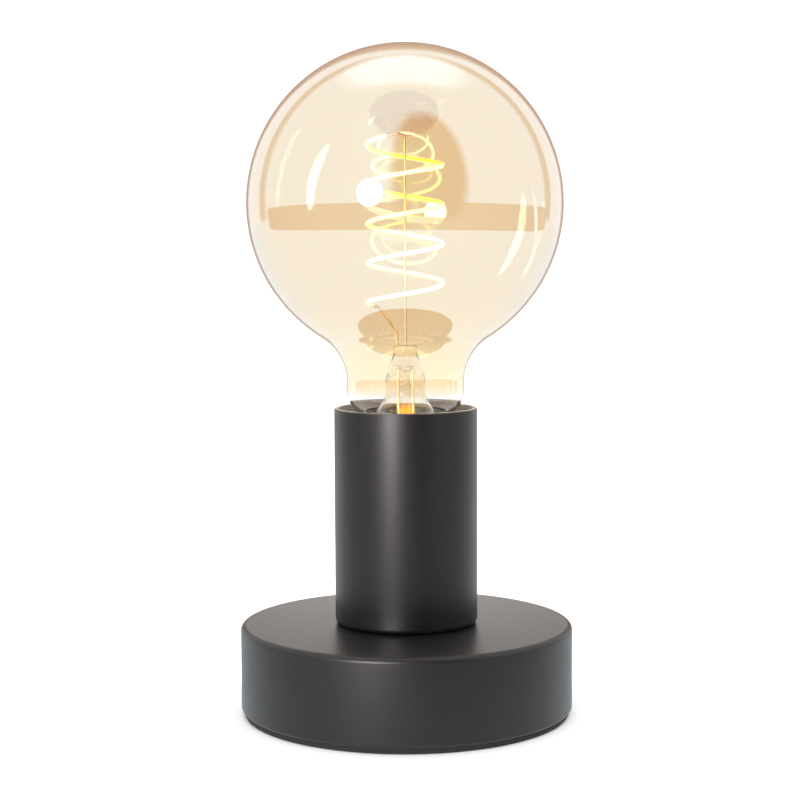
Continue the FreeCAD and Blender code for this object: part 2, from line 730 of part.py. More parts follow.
def make_terminal_block():
    """The three-pole block under the weight, with brass inserts and its screws."""
    height = f"({WEIGHT_UNDERSIDE} - {BLOCK_FOOT})"
    front = "(block_offset - block_depth / 2)"
    holes = []
    inserts = []
    clamps = []
    fixings = []
    for number, x in poles():
        holes.append(cylinder(f"pole_bore_{number}", "insert_radius + fit_gap", "block_depth", x, front,
                              ENTRY, ALONG_Y))
        tube_blank = cylinder(f"insert_blank_{number}", "insert_radius",
                              "block_depth - 2 * insert_setback", x, f"{front} + insert_setback",
                              ENTRY, ALONG_Y)
        cuts = [cylinder(f"insert_bore_{number}", "insert_bore", "block_depth", x, front, ENTRY, ALONG_Y)]
        for side in (-1, 1):
            y = f"(block_offset + {side} * clamp_screw_place)"
            tag = f"{number}_{'front' if side < 0 else 'rear'}"
            holes.append(cylinder(f"screw_well_{tag}", "clamp_screw_head + fit_gap", "entry_height",
                                  x, y, BLOCK_FOOT))
            cuts.append(cylinder(f"insert_tap_{tag}", "clamp_screw_radius + thread_clearance",
                                 f"insert_radius + {PAST}", x, y, f"{ENTRY} - insert_radius - {PAST}"))
            screw_foot = f"({ENTRY} - lead_radius - clamp_screw_length)"
            head = cylinder(f"clamp_head_{tag}", "clamp_screw_head", "clamp_head_height", x, y, screw_foot)
            stem = cylinder(f"clamp_stem_{tag}", "clamp_screw_radius", "clamp_screw_length", x, y, screw_foot)
            slot = box(f"clamp_slot_{tag}", "2 * clamp_screw_head", "small_slot", "small_slot", x, y,
                       screw_foot)
            clamps.append(cut(f"clamp_{tag}", fuse(f"clamp_blank_{tag}", head, stem), slot))
        inserts.append(cut(f"insert_{number}", tube_blank, fuse(f"insert_cuts_{number}", *cuts)))
    for number, side in enumerate((-1, 1), start=1):
        x = f"{side} * pole_pitch / 2"
        holes.append(cylinder(f"block_hole_{number}", "block_screw_radius + fit_gap", height, x,
                              "block_offset", BLOCK_FOOT))
        head = cylinder(f"block_screw_head_{number}", "block_screw_head", "block_screw_head_height", x,
                        "block_offset", f"{BLOCK_FOOT} - block_screw_head_height")
        stem = cylinder(f"block_screw_stem_{number}", "block_screw_radius",
                        f"{height} + block_screw_bite", x, "block_offset", BLOCK_FOOT)
        fixings.append(fuse(f"block_screw_{number}", head, stem))
    blank = box("block_blank", "block_width", "block_depth", height, "0", "block_offset", BLOCK_FOOT)
    sub_part(cut("terminal_block", blank, fuse("block_cuts", *holes)), "terminal_block")
    sub_part(group("terminal_inserts", inserts), "terminal_inserts")
    sub_part(group("terminal_screws", clamps), "terminal_screws")
    sub_part(group("terminal_block_screws", fixings), "terminal_block_screws")


def make_earth_terminal():
    """The ring terminal and its screw under the weight."""
    foot = f"({WEIGHT_UNDERSIDE} - earth_ring_thickness)"
    ring_disc = cylinder("earth_disc", "earth_ring_radius", "earth_ring_thickness", "earth_place_x",
                         "earth_place_y", foot)
    tail = box("earth_tail", "earth_ring_radius", "earth_ring_radius", "earth_ring_thickness",
               "earth_place_x - earth_ring_radius", "earth_place_y", foot)
    barrel = cylinder("earth_barrel", "earth_barrel_radius", "earth_barrel_length",
                      "earth_place_x - earth_ring_radius - earth_barrel_length", "earth_place_y",
                      f"{WEIGHT_UNDERSIDE} - earth_barrel_radius", ALONG_X)
    hole = cylinder("earth_hole", "plate_screw_radius + fit_gap", "earth_ring_thickness", "earth_place_x",
                    "earth_place_y", foot)
    sub_part(cut("earth_ring", fuse("earth_ring_blank", ring_disc, tail, barrel), hole), "earth_ring")
    head = cylinder("earth_head", "earth_screw_head", "earth_screw_head_height", "earth_place_x",
                    "earth_place_y", f"{foot} - earth_screw_head_height")
    stem = cylinder("earth_stem", "plate_screw_radius",
                    "earth_screw_length + earth_ring_thickness - screw_end_gap",
                    "earth_place_x", "earth_place_y", foot)
    slot = box("earth_slot", f"2 * earth_screw_head + {PAST}", "slot_width", "slot_depth",
               "earth_place_x", "earth_place_y", f"{foot} - earth_screw_head_height")
    sub_part(cut("earth_screw", fuse("earth_screw_blank", head, stem), slot), "earth_screw")


def make_leads():
    """The live and neutral leads up the nipple, and the earth lead to the weight."""
    entry = size(ENTRY)
    start_y = size("block_offset - clamp_screw_place + lead_exit")
    front = size("block_offset - block_depth / 2")
    low = size(f"{NIPPLE_FOOT} - lead_bend - lead_radius - lead_clearance")
    foot = size(f"{INSERT_FOOT} - strip_thickness - terminal_height")
    chamber = size(f"{NIPPLE_TOP} + lead_radius + chamber_clearance")
    reach = size(TERMINAL_REACH)
    bend = size("lead_bend")
    step = size("lead_spread")
    for name, side, start_x in (("live_lead", -1, -size("pole_pitch")), ("neutral_lead", 1, 0.0)):
        points = [V(start_x, start_y, entry), V(start_x, front - size("lead_exit"), entry),
                  V(side * step, 0, low), V(side * step, 0, chamber),
                  V(side * reach, 0, chamber), V(side * reach, 0, foot)]
        path = bent_path(points, bend, bend, size("holder_lead_bend"))
        sub_part(tube(name, path, "lead_radius"), name)
    barrel_end = V(size("earth_place_x - earth_ring_radius - earth_barrel_length"), size("earth_place_y"),
                   size(f"{WEIGHT_UNDERSIDE} - earth_barrel_radius"))
    start_x = size("pole_pitch")
    points = [V(start_x, start_y, entry), V(start_x, front - bend, entry),
              barrel_end + V(-1.2 * bend, 0.4 * bend, -0.95 * bend),
              barrel_end + V(-1.3 * bend, 0, 0), barrel_end]
    sub_part(tube("earth_lead", bent_path(points, bend / 2), "lead_radius"), "earth_lead")


# ---------------------------------------------------------------- cup

def make_socket_cup():
    """The drawn cup that stands on the base and hides the lampholder."""
    inside = "(cup_radius - cup_wall)"
    hole = "(nipple_radius + hole_clearance)"
    body = lathe("socket_cup", [
        (hole, "0"),
        ("cup_radius", "0"),
        ("cup_radius", "cup_height"),
        (inside, "cup_height"),
        (inside, "cup_wall"),
        (hole, "cup_wall"),
    ], z="base_height")
    round_rims(body, "cup_bottom_rounding", ("cup_radius", "0"))
    round_rims(body, "cup_wall * cup_rim_share", ("cup_radius", "cup_height"), (inside, "cup_height"))
    sub_part(body, "socket_cup")


# ---------------------------------------------------------------- lampholder

def make_holder_cap():
    """The lampholder's lower cap: a tapped boss, a chamber for the leads and a spigot."""
    chamber = "(boss_height + cap_chamber)"
    shoulder = "(boss_height + cap_shoulder)"
    body = lathe("cap_turning", [
        ("nipple_radius + thread_clearance", "0"),
        ("boss_radius", "0"),
        ("boss_radius", "boss_height - holder_floor"),
        (f"{HOLDER_RADIUS} - cap_bevel", f"{shoulder} - cap_bevel"),
        (HOLDER_RADIUS, shoulder),
        (HOLDER_RADIUS, chamber),
        (f"{HOLDER_INSIDE} - fit_gap", chamber),
        (f"{HOLDER_INSIDE} - fit_gap", f"{chamber} + spigot_height"),
        (SPIGOT_INSIDE, f"{chamber} + spigot_height"),
        (SPIGOT_INSIDE, "boss_height + holder_wall"),
        (f"{SPIGOT_INSIDE} - cap_cove", "boss_height"),
        ("nipple_radius + thread_clearance", "boss_height"),
    ], z=BOSS_FOOT)
    side = cylinder("set_screw_hole", "set_screw_radius + thread_clearance", f"boss_radius + {PAST}",
                    "0", "0", f"{BOSS_FOOT} + set_screw_rise", ALONG_MINUS_Y)
    sub_part(cut("cap", body, side), "holder_cap")
    screw = lathe("set_screw", [
        ("0", "0"),
        ("set_screw_radius - set_screw_point", "0"),
        ("set_screw_radius", "set_screw_point"),
        ("set_screw_radius", "boss_radius - nipple_radius - fit_gap"),
        ("0", "boss_radius - nipple_radius - fit_gap"),
    ], y="-nipple_radius - fit_gap", z=f"{BOSS_FOOT} + set_screw_rise", turn=ALONG_MINUS_Y)
    sub_part(screw, "holder_set_screw")


def make_holder_insert():
    """The porcelain insert that carries the contacts, clamped between cap and sleeve."""
    low = f"({SPIGOT_INSIDE} - fit_gap)"
    flange = f"({HOLDER_INSIDE} - fit_gap)"
    top = "(insert_depth + insert_rise)"
    well = "(plunger_flange + fit_gap * 2)"
    recess = "(contact_washer_radius + fit_gap)"
    body = lathe("insert_turning", [
        ("rivet_radius + fit_gap", "0"),
        (low, "0"),
        (low, "insert_depth"),
        (flange, "insert_depth"),
        (flange, "insert_depth + insert_flange"),
        (f"{HOLDER_BORE} - fit_gap", "insert_depth + insert_flange"),
        (f"{HOLDER_BORE} - fit_gap", top),
        (recess, top),
        (recess, f"{top} - contact_washer_thickness"),
        (well, f"{top} - contact_washer_thickness"),
        (well, "spring_seat"),
        ("rivet_radius + fit_gap", "spring_seat"),
    ], z=INSERT_FOOT)
    hole = cylinder("neutral_rivet_hole", "rivet_radius + fit_gap", top, TERMINAL_REACH, "0", INSERT_FOOT)
    sub_part(cut("insert", body, hole), "holder_insert")


def make_holder_sleeve():
    """The sleeve round the screw shell. Its skirt slides over the cap's spigot."""
    ledge = "(spigot_height + insert_flange + fit_gap)"
    upper = f"({HOLDER_BORE} + sleeve_wall)"
    body = lathe("holder_sleeve", [
        (HOLDER_INSIDE, "0"),
        (HOLDER_RADIUS, "0"),
        (HOLDER_RADIUS, "sleeve_skirt"),
        (upper, "sleeve_skirt + sleeve_shoulder"),
        (upper, "sleeve_height"),
        (HOLDER_BORE, "sleeve_height"),
        (HOLDER_BORE, ledge),
        (HOLDER_INSIDE, ledge),
    ], z=SLEEVE_FOOT)
    round_rims(body, "sleeve_wall * sleeve_rim_share", (upper, "sleeve_height"))
    sub_part(body, "holder_sleeve")


def thread_rings(radius, foot, top, low_end, high_end):
    """Circles for a round screw thread: each level is a circle of the same size, thrown off the
    axis by the thread's depth and turned a little further than the one below."""
    pitch = size("thread_pitch")
    throw = size("thread_throw")
    steps = round((top - foot) / pitch * 12)
    rings = [Part.makeCircle(end_radius, V(0, 0, height)) for end_radius, height in low_end]
    for step in range(steps + 1):
        height = foot + (top - foot) * step / steps
        angle = 2 * math.pi * height / pitch
        rings.append(Part.makeCircle(radius, V(throw * math.cos(angle), throw * math.sin(angle), height)))
    rings += [Part.makeCircle(end_radius, V(0, 0, height)) for end_radius, height in high_end]
    return Part.makeLoft([Part.Wire([edge]) for edge in rings], True, True)


def make_screw_shell():
    """The female screw shell, pressed from sheet, with its floor on the insert."""
    floor = size(INSERT_TOP)
    foot = floor + size("thread_start")
    top = size(f"{SLEEVE_TOP} - shell_lip")
    inner = size("thread_radius + thread_fit")
    sheet = size("sheet_metal")
    flare = size("shell_flare")
    plain = inner - size("thread_throw")
    bore = thread_rings(inner, foot, top, [(plain, floor + sheet), (plain, foot - flare)],
                        [(inner + flare, top + flare)])
    skin = thread_rings(inner + sheet, foot, top, [(plain + sheet, floor), (plain + sheet, foot - flare)],
                        [(inner + sheet + flare, top + flare)])
    hole = Part.makeCylinder(size("shell_floor_hole"), foot - floor, V(0, 0, floor - size(PAST)))
    shell = doc.addObject("Part::Feature", "screw_shell")
    shell.Shape = skin.cut(bore).cut(hole)
    sub_part(shell, "screw_shell")


def make_contacts():
    """The sprung centre contact, its washer and spring, and the two terminals of the holder."""
    washer_foot = f"({INSERT_TOP} - contact_washer_thickness)"
    sub_part(lathe("insulating_washer", ring("contact_washer_radius", "plunger_radius + hole_clearance",
                                             "contact_washer_thickness"), z=washer_foot),
             "insulating_washer")
    foot = f"({washer_foot} - plunger_slack - plunger_flange_thickness)"
    reach = f"({INSERT_TOP} + plunger_lift - {foot})"
    sub_part(lathe("centre_contact", [
        ("0", "0"),
        ("plunger_flange", "0"),
        ("plunger_flange", "plunger_flange_thickness"),
        ("plunger_radius", "plunger_flange_thickness"),
        ("plunger_radius", f"{reach} - plunger_dome"),
        ("0", reach, "+(plunger_radius^2 + plunger_dome^2) / (2 * plunger_dome)"),
    ], z=foot), "centre_contact")
    seat = f"({INSERT_FOOT} + spring_seat)"
    quarters = int(size("spring_turns")) * 4
    pitch = size(f"{foot} - {seat} - 2 * spring_wire - 2 * spring_end_gap") / (quarters / 4)
    path = helix_path(size("spring_radius"), pitch, 0, quarters)
    sub_part(tube("contact_spring", path, "spring_wire", z=f"{seat} + spring_wire + spring_end_gap"),
             "contact_spring")
    gap = least_gap(size("spring_radius"), pitch, quarters, size("spring_wire"))
    print(f"contact spring: least gap to itself {gap:.2f} mm")


def make_terminals():
    """The holder's live and neutral terminals under the insert, each with a clamp screw."""
    strip_foot = f"({INSERT_FOOT} - strip_thickness)"
    block_foot = f"({strip_foot} - terminal_height)"
    middle = f"({block_foot} + terminal_height / 2)"
    screws = []
    for name, side in (("live", -1), ("neutral", 1)):
        x = f"({side} * {TERMINAL_REACH})"
        block = box(f"{name}_block", "terminal_width", "terminal_width", "terminal_height", x, "0",
                    block_foot)
        if side < 0:
            strip = box(f"{name}_strip", f"{TERMINAL_REACH} + strip_width", "strip_width",
                        "strip_thickness", f"-{TERMINAL_REACH} / 2", "0", strip_foot)
            rivet = cylinder(f"{name}_rivet", "rivet_radius", "strip_thickness + spring_seat + rivet_head",
                             "0", "0", strip_foot)
        else:
            strip = box(f"{name}_strip", "strip_width", "strip_width", "strip_thickness", x, "0",
                        strip_foot)
            rivet = cylinder(f"{name}_rivet", "rivet_radius",
                             "strip_thickness + insert_depth + insert_rise", x, "0", strip_foot)
        tap = cylinder(f"{name}_tap", "holder_screw_radius + thread_clearance", "terminal_width", x,
                       "-terminal_width / 2", middle, ALONG_Y)
        blank = fuse(f"{name}_blank", block, strip, rivet)
        sub_part(cut(f"{name}_terminal", blank, tap), f"{name}_terminal")
        head = cylinder(f"{name}_screw_head", "holder_screw_head", "holder_screw_head_height", x,
                        "-terminal_width / 2 - holder_screw_head_height", middle, ALONG_Y)
        stem = cylinder(f"{name}_screw_stem", "holder_screw_radius", "terminal_width - screw_end_gap", x,
                        "-terminal_width / 2", middle, ALONG_Y)
        screws.append(fuse(f"{name}_screw", head, stem))
    sub_part(group("holder_terminal_screws", screws), "holder_terminal_screws")


# ---------------------------------------------------------------- bulb

def make_bulb_cap():
    """The bulb's tip contact, its insulator and the threaded cap shell."""
    bulge = "(tip_height - tip_rim)"
    sub_part(lathe("cap_contact", [
        ("0", "0"),
        ("tip_radius", bulge, f"+(tip_radius^2 + {bulge}^2) / (2 * {bulge})"),
        ("tip_radius", "tip_height"),
        ("0", "tip_height"),
    ], z=TIP), "cap_contact")
    plug = "(thread_radius - thread_throw - sheet_metal - fit_gap)"
    sub_part(lathe("cap_insulator", [
        ("0", "fit_gap"),
        ("tip_radius + insulator_rim", "fit_gap"),
        ("insulator_radius", "insulator_height"),
        (plug, "insulator_height"),
        (plug, "insulator_height + insulator_plug"),
        ("0", "insulator_height + insulator_plug"),
    ], z=INSULATOR_FOOT), "cap_insulator")
    foot = size(CAP_FOOT)
    thread_foot = foot + size("thread_runout")
    thread_top = foot + size("cap_thread_height")
    top = size(CAP_TOP)
    skirt = size("skirt_radius")
    radius = size("thread_radius")
    sheet = size("sheet_metal")
    low = radius - size("thread_throw")
    skirt_foot = thread_top + size("thread_runout")
    skin = thread_rings(radius, thread_foot, thread_top, [(low, foot)],
                        [(skirt, skirt_foot), (skirt, top)])
    bore = thread_rings(radius - sheet, thread_foot, thread_top, [(low - sheet, foot)],
                        [(skirt - sheet, skirt_foot), (skirt - sheet, top)])
    shell = doc.addObject("Part::Feature", "cap_shell")
    shell.Shape = skin.cut(bore)
    sub_part(shell, "cap_shell")


def glass_outline(wall):
    """Half the bulb's outline, offset inwards by a wall: open collar, shoulder, neck and globe."""
    globe = f"(globe_radius - {wall})"
    shoulder = f"(shoulder_radius - {wall})"
    collar = f"({COLLAR} - {wall})"
    shoulder_drop = f"sqrt({shoulder}^2 - ({collar} - {SHOULDER_ACROSS})^2)"
    return [
        ("0", STEM_FOOT),
        (collar, STEM_FOOT),
        (collar, f"{SHOULDER_CENTRE} - {shoulder_drop}"),
        (f"neck_radius - {wall}", SHOULDER_CENTRE, f"+{shoulder}"),
        (f"neck_radius - {wall}", BLEND_CENTRE),
        (f"{globe} * {BLEND_ACROSS} / {BLEND_FAR}", f"{GLOBE_CENTRE} - {globe} * {BLEND_DROP} / {BLEND_FAR}",
         f"-(neck_blend + {wall})"),
        (globe, GLOBE_CENTRE, f"+{globe}"),
        ("0", f"{GLOBE_CENTRE} + {globe}", f"+{globe}"),
    ]


def make_bulb_glass():
    """The blown globe with its neck, open at the collar inside the cap's skirt."""
    outer = lathe("glass_outer", glass_outline("0"))
    inner = lathe("glass_inner", glass_outline("glass_wall"))
    sub_part(cut("bulb_glass", outer, inner), "bulb_glass")


def make_bulb_stem():
    """The glass stem: a flare in the collar, a narrowing tube and a pressed tip."""
    flare = f"({COLLAR} - glass_wall - fit_gap)"
    tip = f"({STEM_TOP} - {STEM_FOOT})"
    sub_part(lathe("bulb_stem", [
        (f"{flare} - glass_wall", "0"),
        (flare, "0"),
        (flare, "stem_lip"),
        ("stem_radius", "stem_flare"),
        ("stem_radius", "stem_shoulder"),
        ("stem_tip", "stem_waist"),
        ("stem_tip", f"{tip} - stem_tip_bevel"),
        ("stem_tip - stem_tip_bevel", tip),
        ("0", tip),
        ("0", f"{tip} - press_height"),
        ("stem_tip - glass_wall", f"{tip} - press_height"),
        ("stem_radius - glass_wall", "stem_shoulder - glass_wall"),
        ("stem_radius - glass_wall", "stem_flare + glass_wall / 2"),
        (f"{flare} - glass_wall", "stem_lip + glass_wall"),
    ], z=STEM_FOOT), "bulb_stem")
    length = f"({STEM_TOP} - press_height - {STEM_FOOT} - exhaust_clearance)"
    sub_part(lathe("exhaust_tube", [
        ("0", "0"),
        ("exhaust_radius", "exhaust_tip"),
        ("exhaust_radius", length),
        ("exhaust_bore", length),
        ("exhaust_bore", "exhaust_tip * 1.5"),
        ("0", "exhaust_tip * 1.5"),
    ], z=f"{STEM_FOOT} + exhaust_clearance"), "exhaust_tube")


def make_filament():
    """The spiral filament, its two end tabs, and the wires that carry it on the stem."""
    radius = size("coil_radius")
    pitch = size("coil_pitch")
    angle = size("coil_start_angle")
    quarters = int(size("coil_quarters"))
    low = V(0, 0, size(FILAMENT_FOOT))
    path = helix_path(radius, pitch, angle, quarters)
    sub_part(tube("led_filament", path, "filament_radius", z=FILAMENT_FOOT), "led_filament")
    gap = least_gap(radius, pitch, quarters, size("filament_radius"))
    print(f"filament: least gap to itself {gap:.2f} mm")
    start, start_tangent = helix_point(radius, pitch, angle, 0)
    end, end_tangent = helix_point(radius, pitch, angle, quarters / 4)
    reach = size("tab_length")
    tabs = []
    for name, point, outward in (("low_tab", start + low, -start_tangent),
                                 ("high_tab", end + low, end_tangent)):
        tab = doc.addObject("Part::Feature", name)
        tab.Shape = Part.makeCylinder(size("tab_radius"), reach, point, outward)
        tabs.append(tab)
    sub_part(group("tabs", tabs), "filament_tabs")
    low_end = start + low - start_tangent * reach
    high_end = end + low + end_tangent * reach
    stem_top = size(STEM_TOP)
    aside = size("lead_aside")
    hook_reach = size("hook_reach")
    bend = size("hook_bend")
    hook = high_end + end_tangent * hook_reach
    post = [V(0, 0, stem_top), V(0, 0, hook.z), hook, high_end]
    sub_part(tube("filament_post", bent_path(post, bend), "wire_radius"), "filament_post")
    hook = low_end - start_tangent * hook_reach
    lead = [low_end, hook, V(-aside, 0, stem_top + size("lead_rise")), V(-aside, 0, stem_top)]
    sub_part(tube("filament_lead", bent_path(lead, bend), "wire_radius"), "filament_lead")


def make_driver():
    """The driver board in the bulb's cap, its components and the lead-in wires above it."""
    foot = f"({CAP_FOOT} + insulator_plug)"
    face = "board_thickness / 2"
    sub_part(box("driver_board", "board_width", "board_thickness", "board_height", z=foot), "driver_board")
    capacitor = cylinder("capacitor", "capacitor_radius", "capacitor_length", "-board_width / 5",
                         f"-{face} - capacitor_radius", f"{foot} + component_lift")
    choke = cylinder("choke", "choke_radius", "choke_length", "board_width / 4", f"-{face} - choke_radius",
                     f"{foot} + component_lift")
    rectifier = box("rectifier", "rectifier_size", "rectifier_size / 2", "rectifier_size", "0",
                    f"{face} + rectifier_size / 4", f"{foot} + board_height / 2")
    sub_part(group("components", [capacitor, choke, rectifier]), "driver_components")
    top = f"({foot} + board_height)"
    length = f"{STEM_TOP} - press_height - {top}"
    aside = "((stem_tip - glass_wall + exhaust_radius) / 2)"
    wires = [cylinder(f"lead_in_wire_{number}", "wire_radius", length, f"{side} * {aside}", "0", top)
             for number, side in ((1, -1), (2, 1))]
    sub_part(group("wires", wires), "lead_in_wires")


def make_all():
    make_foot_pad()
    make_base_shell()
    make_base_plate()
    make_base_weight()
    make_nipple_stack()
    make_cable_gland()
    make_terminal_block()
    make_earth_terminal()
    make_leads()
    make_socket_cup()
    make_holder_cap()
    make_holder_insert()
    make_holder_sleeve()
    make_screw_shell()
    make_contacts()
    make_terminals()
    make_bulb_cap()
    make_bulb_glass()
    make_bulb_stem()
    make_filament()
    make_driver()


make_all()
doc.recompute()

for thing in doc.Objects:
    if "Invalid" in thing.State or "Error" in thing.State:
        raise RuntimeError(f"{thing.Label} did not build: {thing.State}")
for thing in parts:
    if thing.Shape.isNull() or not thing.Shape.isValid():
        raise RuntimeError(f"{thing.Label} has no valid solid")

os.makedirs("parts", exist_ok=True)
for thing in parts:
    thing.Shape.exportStep(f"parts/{thing.Label}.step")
    box_of = thing.Shape.BoundBox
    print(f"{thing.Label}: {len(thing.Shape.Solids)} solid(s), {thing.Shape.Volume:.1f} mm3, "
          f"z {box_of.ZMin:.2f} to {box_of.ZMax:.2f}")
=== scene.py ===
import json
import math

import bmesh
import bpy
from mathutils import Matrix, Vector


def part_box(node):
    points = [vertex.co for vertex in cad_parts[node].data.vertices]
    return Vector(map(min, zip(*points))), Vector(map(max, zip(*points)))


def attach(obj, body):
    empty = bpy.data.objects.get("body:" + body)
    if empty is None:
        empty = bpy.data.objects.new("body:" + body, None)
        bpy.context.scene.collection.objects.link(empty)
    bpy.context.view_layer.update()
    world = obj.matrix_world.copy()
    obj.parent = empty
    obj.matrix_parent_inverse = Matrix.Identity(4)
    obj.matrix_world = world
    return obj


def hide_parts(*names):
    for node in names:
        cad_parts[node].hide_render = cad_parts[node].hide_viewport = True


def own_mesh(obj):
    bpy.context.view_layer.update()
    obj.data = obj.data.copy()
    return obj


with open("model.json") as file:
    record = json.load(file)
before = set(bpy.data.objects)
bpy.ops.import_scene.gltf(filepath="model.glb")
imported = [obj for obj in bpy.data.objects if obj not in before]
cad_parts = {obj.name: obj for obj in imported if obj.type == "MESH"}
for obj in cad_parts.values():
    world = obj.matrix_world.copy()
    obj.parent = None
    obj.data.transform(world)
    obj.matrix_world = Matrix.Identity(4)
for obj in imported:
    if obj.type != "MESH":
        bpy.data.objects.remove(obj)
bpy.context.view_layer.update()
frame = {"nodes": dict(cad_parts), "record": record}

# A table lamp with a bare globe bulb, dressed for rendering: smooth turned surfaces, a tinted
# glass globe that fades to clear at the neck, a glowing spiral filament and matte black paint.
# Metres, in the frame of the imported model. +Z is up and +Y is the back.

MM = 0.001
ON_AXIS = 1e-7

# Sizes read from the frame.
SHELL_LOW, SHELL_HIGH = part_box("base_shell")
CUP_LOW, CUP_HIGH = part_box("socket_cup")
GLASS_LOW, GLASS_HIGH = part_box("bulb_glass")
PAD_LOW, PAD_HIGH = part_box("foot_pad")
STEM_LOW, STEM_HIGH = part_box("bulb_stem")
CAP_LOW, CAP_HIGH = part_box("cap_shell")
GLAND_LOW, GLAND_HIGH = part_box("cable_gland")
SPRING_LOW, SPRING_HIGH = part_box("contact_spring")

# Sizes that the frame's boxes don't give: the base, with its pad and its gland.
PAD_ROUNDING = 0.3 * MM
SHELL_WALL = 1.2 * MM
SHELL_TOP_ROUNDING = 1.65 * MM
SHELL_FOOT_ROUNDING = 0.8 * MM
SHELL_INNER_ROUNDING = 0.3 * MM
NIPPLE_HOLE = 5.3 * MM
GLAND_HOLE = 4.6 * MM
GLAND_THREAD = 4.5 * MM
GLAND_BORE = 3.3 * MM
GLAND_FLANGE_THICKNESS = 2 * MM

# The cup, and the spring of the contact in it.
CUP_WALL = 1.2 * MM
CUP_BOTTOM_ROUNDING = 1.8 * MM
CUP_RIM_ROUNDING = 0.48 * MM
CUP_INNER_ROUNDING = 0.6 * MM
SPRING_WIRE = 0.25 * MM
SPRING_TURNS = 5

# The bulb's glass.
GLASS_WALL = 0.8 * MM
STEM_GAP = 0.1 * MM
GLOBE_RADIUS = 47.5 * MM
NECK_RADIUS = 17.7 * MM
NECK_BLEND = 16.0 * MM
SHOULDER_RADIUS = 8.0 * MM
NECK_LENGTH = 2.6 * MM
COLLAR_RADIUS = 12.9 * MM
GLOBE_CENTRE = GLASS_HIGH.z - GLOBE_RADIUS

# The spiral filament and its wires.
COIL_RADIUS = 11.3 * MM
COIL_PITCH = 11.8 * MM
COIL_TURNS = 4.25
COIL_START = math.radians(152)
COIL_FOOT = GLOBE_CENTRE - 30.8 * MM
STRIP_RADIUS = 0.62 * MM
TAB_RADIUS = 0.6 * MM
TAB_LENGTH = 2.4 * MM
WIRE_RADIUS = 0.4 * MM
WIRE_BEND = 0.7 * MM
HOOK_REACH = 1.5 * MM
LEAD_ASIDE = 2.5 * MM
LEAD_RISE = 2.5 * MM

# The bulb's threaded cap.
THREAD_PITCH = 3.629 * MM
THREAD_RADIUS = 12.6 * MM
THREAD_THROW = 0.55 * MM
THREAD_RUNOUT = 0.9 * MM
THREAD_HEIGHT = 15.6 * MM
SKIRT_RADIUS = 13.3 * MM
CAP_SHEET = 0.3 * MM

# The amber lustre fades in from here upwards, and thickens slowly over the lower part of the globe.
LUSTRE_FOOT = CUP_HIGH.z + 3.7 * MM
LUSTRE_FADE = 2 * MM
LUSTRE_RISE = 34 * MM
LUSTRE_THIN = 0.5

# The camera looks down by its dip. Dip and roll are in degrees.
CAMERA_PLACE = (-1.7 * MM, -532.8 * MM, 138.9 * MM)
CAMERA_DIP = 4.674
CAMERA_ROLL = -0.242
CAMERA_LENS = 79.43

# How far off the reflection-only cards stand, how much nearer each order of them is, and the rows
# of faces in each.
CARD_DISTANCE = 1.4
CARD_STEP = 0.02
CARD_ROWS = 32

# Colours of the light.
FOOT_GLOW = (1.0, 0.42, 0.04)
WARM = (1.0, 0.82, 0.56)
WHITE = (1, 1, 1)
PALE = (0.92, 1, 1.04)
CREAM = (1.0, 0.9, 0.78)
PINK = (1.0, 0.74, 0.58)
TAN = (1.0, 0.78, 0.52)


# ---------------------------------------------------------------- mesh helpers

def new_object(name, verts, faces, material):
    mesh = bpy.data.meshes.new(name)
    mesh.from_pydata(verts, [], faces)
    mesh.validate()
    obj = bpy.data.objects.new(name, mesh)
    bpy.context.scene.collection.objects.link(obj)
    obj.data.materials.append(material)
    return obj


def closed_object(name, verts, faces, material, sharp_degrees=35):
    """A smooth closed piece, with all its normals outwards."""
    obj = new_object(name, verts, faces, material)
    bm = bmesh.new()
    bm.from_mesh(obj.data)
    bmesh.ops.recalc_face_normals(bm, faces=bm.faces)
    bm.to_mesh(obj.data)
    bm.free()
    smooth(obj, sharp_degrees)
    return obj


def smooth(obj, sharp_degrees=35):
    obj.data.shade_smooth()
    obj.data.set_sharp_from_angle(angle=math.radians(sharp_degrees))


def bake_modifiers(obj):
    """Replace an object's mesh by the one its modifiers give."""
    graph = bpy.context.evaluated_depsgraph_get()
    mesh = bpy.data.meshes.new_from_object(obj.evaluated_get(graph))
    obj.modifiers.clear()
    obj.data = mesh
    smooth(obj)


def lay_back(obj, place):
    """Turn an upright piece to point at the back, with its foot at a place."""
    obj.data.transform(Matrix.Translation(place) @ Matrix.Rotation(-math.pi / 2, 4, "X"))


def round_axis(radius, angle, height):
    """A point at a radius and an angle round the lamp's axis."""
    return (radius * math.cos(angle), radius * math.sin(angle), height)


def arc(centre, radius, start, end, steps):
    """Points (across, up) along an arc between two angles in degrees."""
    points = []
    for step in range(steps + 1):
        angle = math.radians(start + (end - start) * step / steps)
        points.append((centre[0] + radius * math.cos(angle), centre[1] + radius * math.sin(angle)))
    return points


def corner_arc(before, corner, after, radius, steps):
    """Points along the arc that rounds the corner between two straight runs."""
    back = (before - corner).normalized()
    ahead = (after - corner).normalized()
    half = back.angle(ahead) / 2
    centre = corner + (back + ahead).normalized() * (radius / math.sin(half))
    first = corner + back * (radius / math.tan(half)) - centre
    last = corner + ahead * (radius / math.tan(half)) - centre
    return [centre + first.slerp(last, step / steps) * radius for step in range(steps + 1)]


def rounded(outline, steps=8):
    """An outline of (across, up, rounding) corners with each corner replaced by its arc."""
    points = []
    for index, (across, up, rounding) in enumerate(outline):
        if rounding == 0:
            points.append((across, up))
            continue
        before = Vector(outline[index - 1][:2])
        after = Vector(outline[(index + 1) % len(outline)][:2])
        arc_points = corner_arc(before, Vector((across, up)), after, rounding, steps)
        points += [tuple(point) for point in arc_points]
    return points


